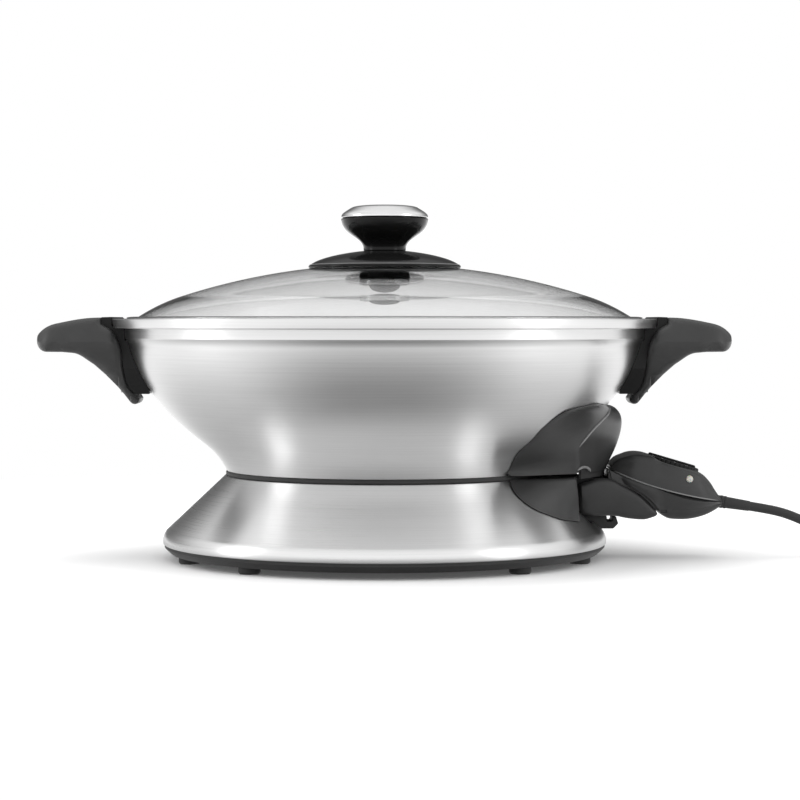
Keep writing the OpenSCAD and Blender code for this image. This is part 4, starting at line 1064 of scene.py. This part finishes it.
def make_plug():
    """The moulded plug with its neck and finger grips."""
    x, y, z = PLUG_AT
    neck = [(3.25, 0), (3.9, 0), (4.3, 0.5), (6.2, 19), (7.4, 21), (0, 24), (0, 8), (3.25, 8)]
    rows = []
    for along, wide, tall in ((19, 6.6, 6.6), (20, 7.2, 7.2), (23, 9.4, 8.6), (26, 12.2, 9.6), (29, 13, 9.8),
                              (37.6, 13, 9.8), (38.5, 12.6, 9.4), (39, 11.8, 8.6)):
        shape = box_outline(wide, tall, min(wide, tall) * 0.75, 6)
        rows.append([(x + along, y + side, z + up) for side, up in shape])
    body = carve(loft("plug", rows), turned(lathe("neck", neck, 48), PLUG_AT, 90), operation="UNION")
    for side in (-1, 1):
        for k in range(4):
            groove_x, groove_y = x + 28 + 2.4 * k, y + side * 13.4
            carve(body, rod("groove", (groove_x, groove_y, z - 6), (groove_x, groove_y, z + 6), 0.8, 12))
    return stands_for(body, "plug_body")


def make_tie():
    """The strap that holds the turns of the coil together."""
    low, high = low_mm("coil_tie"), high_mm("coil_tie")
    middle, half = (low + high) / 2, (high - low) / 2
    rows = []
    for depth, wide in ((0, 0.8), (0, -0.8), (0.25, -1), (0.6, -1), (0.6, 1), (0.25, 1)):
        shape = box_outline(half.x - depth, half.z - depth, 2.4, 5)
        rows.append([(middle.x + a, middle.y + wide * half.y, middle.z + b) for a, b in shape])
    return stands_for(loft("strap", [*rows, rows[0]], capped=False), "coil_tie")


# ---- Cord ----

CORD_D = 6.4
COIL_R = 34.0
COIL_AT = (352.0, 44.0)
PITCH = 6.6
EXIT = (231.0, 0.0, 38.4)
EXIT_SLOPE = 9.0
RELIEF = 21.0
LEAD = [
    (250, 0, 35.4), (256, 0, 34.4), (264, 0, 33), (273, 0, 31), (282, 0, 28), (291, 0, 24), (299, 0, 19.6),
    (307, 1, 15), (315, 3, 10.8), (322, 4.6, 7.6), (329, 6, 5.4), (336, 7, 4.4), (343, 7.2, 4.1),
]
PLUG_AT = (394, 5, 10)
TAIL = [(362, 6.6, 10.2), (370, 6.3, 9.6), (378, 5.8, 9.2), (386, 5.2, 9.6), PLUG_AT, (402, 5, 10)]


def ease(value, start, width):
    """0 before start, 1 after start + width, and smooth between them."""
    t = min(max((value - start) / width, 0), 1)
    return t * t * (3 - 2 * t)


def coil_points():
    """Three turns in a bundle: out and low, in and low, in and high, then out and high."""
    per_turn, shift, low_z = 24, 60, CORD_D / 2 + 0.9
    points = []
    for k in range(3 * per_turn + 1):
        angle = 360 * k / per_turn
        inward = ease(angle, 300, shift) - ease(angle, 900, shift)
        up = ease(angle, 600, shift)
        r = COIL_R + PITCH * (0.5 - inward)
        a = math.radians(angle - 90)
        points.append((COIL_AT[0] + r * math.cos(a), COIL_AT[1] + r * math.sin(a), low_z + PITCH * up))
    return points


def make_cord(*on_it):
    """One lead: out of the relief, down to the floor, three turns round, and into the plug."""
    line = [exit_at(0), exit_at(10), *LEAD, *coil_points(), *TAIL]
    curve = bpy.data.curves.new("mains_lead", "CURVE")
    curve.dimensions = "3D"
    curve.bevel_depth = CORD_D / 2 * MM
    curve.bevel_resolution = 6
    curve.use_fill_caps = True
    spline = curve.splines.new("BEZIER")
    spline.bezier_points.add(len(line) - 1)
    spline.resolution_u = 6
    for knot, spot in zip(spline.bezier_points, line):
        knot.co = Vector(spot) * MM
        knot.handle_left_type = knot.handle_right_type = "AUTO"
    piece = placed("mains_lead", curve)
    carried(piece, "heat_control", "rubber", ("cord_lead", "cord_coil", "cord_tail"))


# ---- Studio and camera ----

FLOOR_R = 30000.0


def make_world():
    """White to the camera, and through glass away from it. Steel sees a room: pale in front and dark behind."""
    world = bpy.data.worlds.new("studio")
    bpy.context.scene.world = world
    world.use_nodes = True
    world.node_tree.nodes.clear()
    w = Nodes(world.node_tree)
    way = w.add("TexCoord", {}).outputs["Generated"]
    _, y, z = w.split(way)
    stops = [(0, 0.75), (0.12, 0.75), (0.3, 0.72), (0.5, 0.65), (0.7, 0.42), (0.85, 0.15), (1, 0.05)]
    low = w.profile(w.facing(way), stops)
    high = w.ramp(z, 0.15, 0.6, 0.0, 1.0)
    above = w.ramp(y, 0.55, 0.92, 0.62, 0.05)
    room = w.add("Mix", {0: high, 6: low, 7: above}, data_type="RGBA").outputs[2]
    path = w.add("LightPath", {}).outputs
    through_glass = w.math("MULTIPLY", path["Is Transmission Ray"], w.ramp(y, 0.2, 0.5, 0, 1))
    clean = w.math("MAXIMUM", path["Is Camera Ray"], through_glass)
    mix = w.add("MixShader", {
        0: clean,
        1: w.add("Background", {"Color": room, "Strength": 1.9}).outputs[0],
        2: w.add("Background", {"Color": (1, 1, 1, 1)}).outputs[0],
    })
    w.add("OutputWorld", {"Surface": mix.outputs[0]})


def make_floor():
    """A pale floor that keeps the shadow near the object and turns plain white further out.

    Steel sees it lit, brighter at the sides than in front, and brighter further out.
    """
    rim = [(x, y, 0.0) for x, y in arc((0, 0), FLOOR_R, 0, 360, 64)[:-1]]
    floor = mesh_from("floor", [(0.0, 0.0, 0.0), *rim], [[0, 1 + k, 1 + (k + 1) % 64] for k in range(64)])
    s = Shader("floor", grey(0.9), Roughness=0.9, Specular_IOR_Level=0.0)
    far = s.length(s.place())
    path = s.add("LightPath", {}).outputs
    seen = s.math("MAXIMUM", path["Is Camera Ray"], path["Is Transmission Ray"])
    glow = s.math("MULTIPLY", s.ramp(far, 0.35, 0.9, 0.06, 1.0), seen)
    glow = s.math("MAXIMUM", glow, path["Is Glossy Ray"])
    stops = [(0, 0.36), (0.04, 0.43), (0.1, 0.65), (0.17, 0.86), (0.26, 0.97), (0.5, 0.91), (1, 0.7)]
    side = s.profile(s.facing(s.place()), stops)
    near = s.math("MULTIPLY", side, s.ramp(far, 0.18, 0.42, 0.72, 1.3))
    steel_sees = s.add("Mix", {0: s.ramp(far, 0.27, 0.85, 0, 1), 2: near, 3: 1.5}).outputs[0]
    strength = s.add("Mix", {0: path["Is Glossy Ray"], 2: 1.0, 3: steel_sees}).outputs[0]
    light = s.add("Emission", {"Color": (1, 1, 1, 1), "Strength": strength})
    both = s.add("MixShader", {0: glow, 1: s.bsdf.outputs[0], 2: light.outputs[0]})
    s.tree.links.new(both.outputs[0], s.tree.nodes["Material Output"].inputs["Surface"])
    floor.data.materials.append(s.material)


def add_lamp(name, place, size, watts, in_steel=True):
    """A soft rectangular lamp that points at the middle of the bowl, mirrored in steel or not."""
    light = bpy.data.lights.new(name, "AREA")
    light.shape = "RECTANGLE"
    light.size, light.size_y = size
    light.energy = watts
    lamp = placed(name, light)
    lamp.visible_glossy = lamp.visible_transmission = in_steel
    lamp.location = place
    lamp.rotation_euler = (Vector((0, 0, 0.1)) - Vector(place)).to_track_quat("-Z", "Y").to_euler()


def make_camera():
    """The photograph's view: level with the rim, a long lens, the object's axis a little left of the middle."""
    picture, focal, distance = 800, 2313, 1.593
    axis_px, horizon_px = 384.7, 323.0
    data = bpy.data.cameras.new("camera")
    data.sensor_width = 36
    data.lens = focal / picture * data.sensor_width
    data.clip_start, data.clip_end = 0.05, 100
    camera = placed("camera", data)
    down = math.atan((picture / 2 - horizon_px) / focal)
    aside = math.atan((picture / 2 - axis_px) / focal)
    camera.location = (0, -distance, 0.1615)
    camera.rotation_euler = (math.pi / 2 - down, 0, -aside)
    bpy.context.scene.camera = camera


make_camera()
make_cord(make_relief(), make_tie(), make_plug(), frame["nodes"]["plug_blades"])
make_world()
make_floor()
add_lamp("top", (-0.2, 0.1, 1.7), (1.4, 1.0), 16, False)
add_lamp("left", (-1.6, -0.3, 0.5), (0.5, 1.2), 4.4)
add_lamp("right", (1.45, -0.76, 0.5), (0.5, 1.2), 3.4)
bpy.context.scene.view_settings.view_transform = "Standard"

for make in (make_bowl, make_base, make_glass, make_rim, make_plate, make_knob, make_under_knob, make_handles,
             make_cowl, add_cowl_highlights, add_cowl_inside, make_housing, make_lever, make_tab, make_top_cover,
             add_seam_highlights, make_bottom_cover, make_dial, add_dial_print, make_lens):
    make()
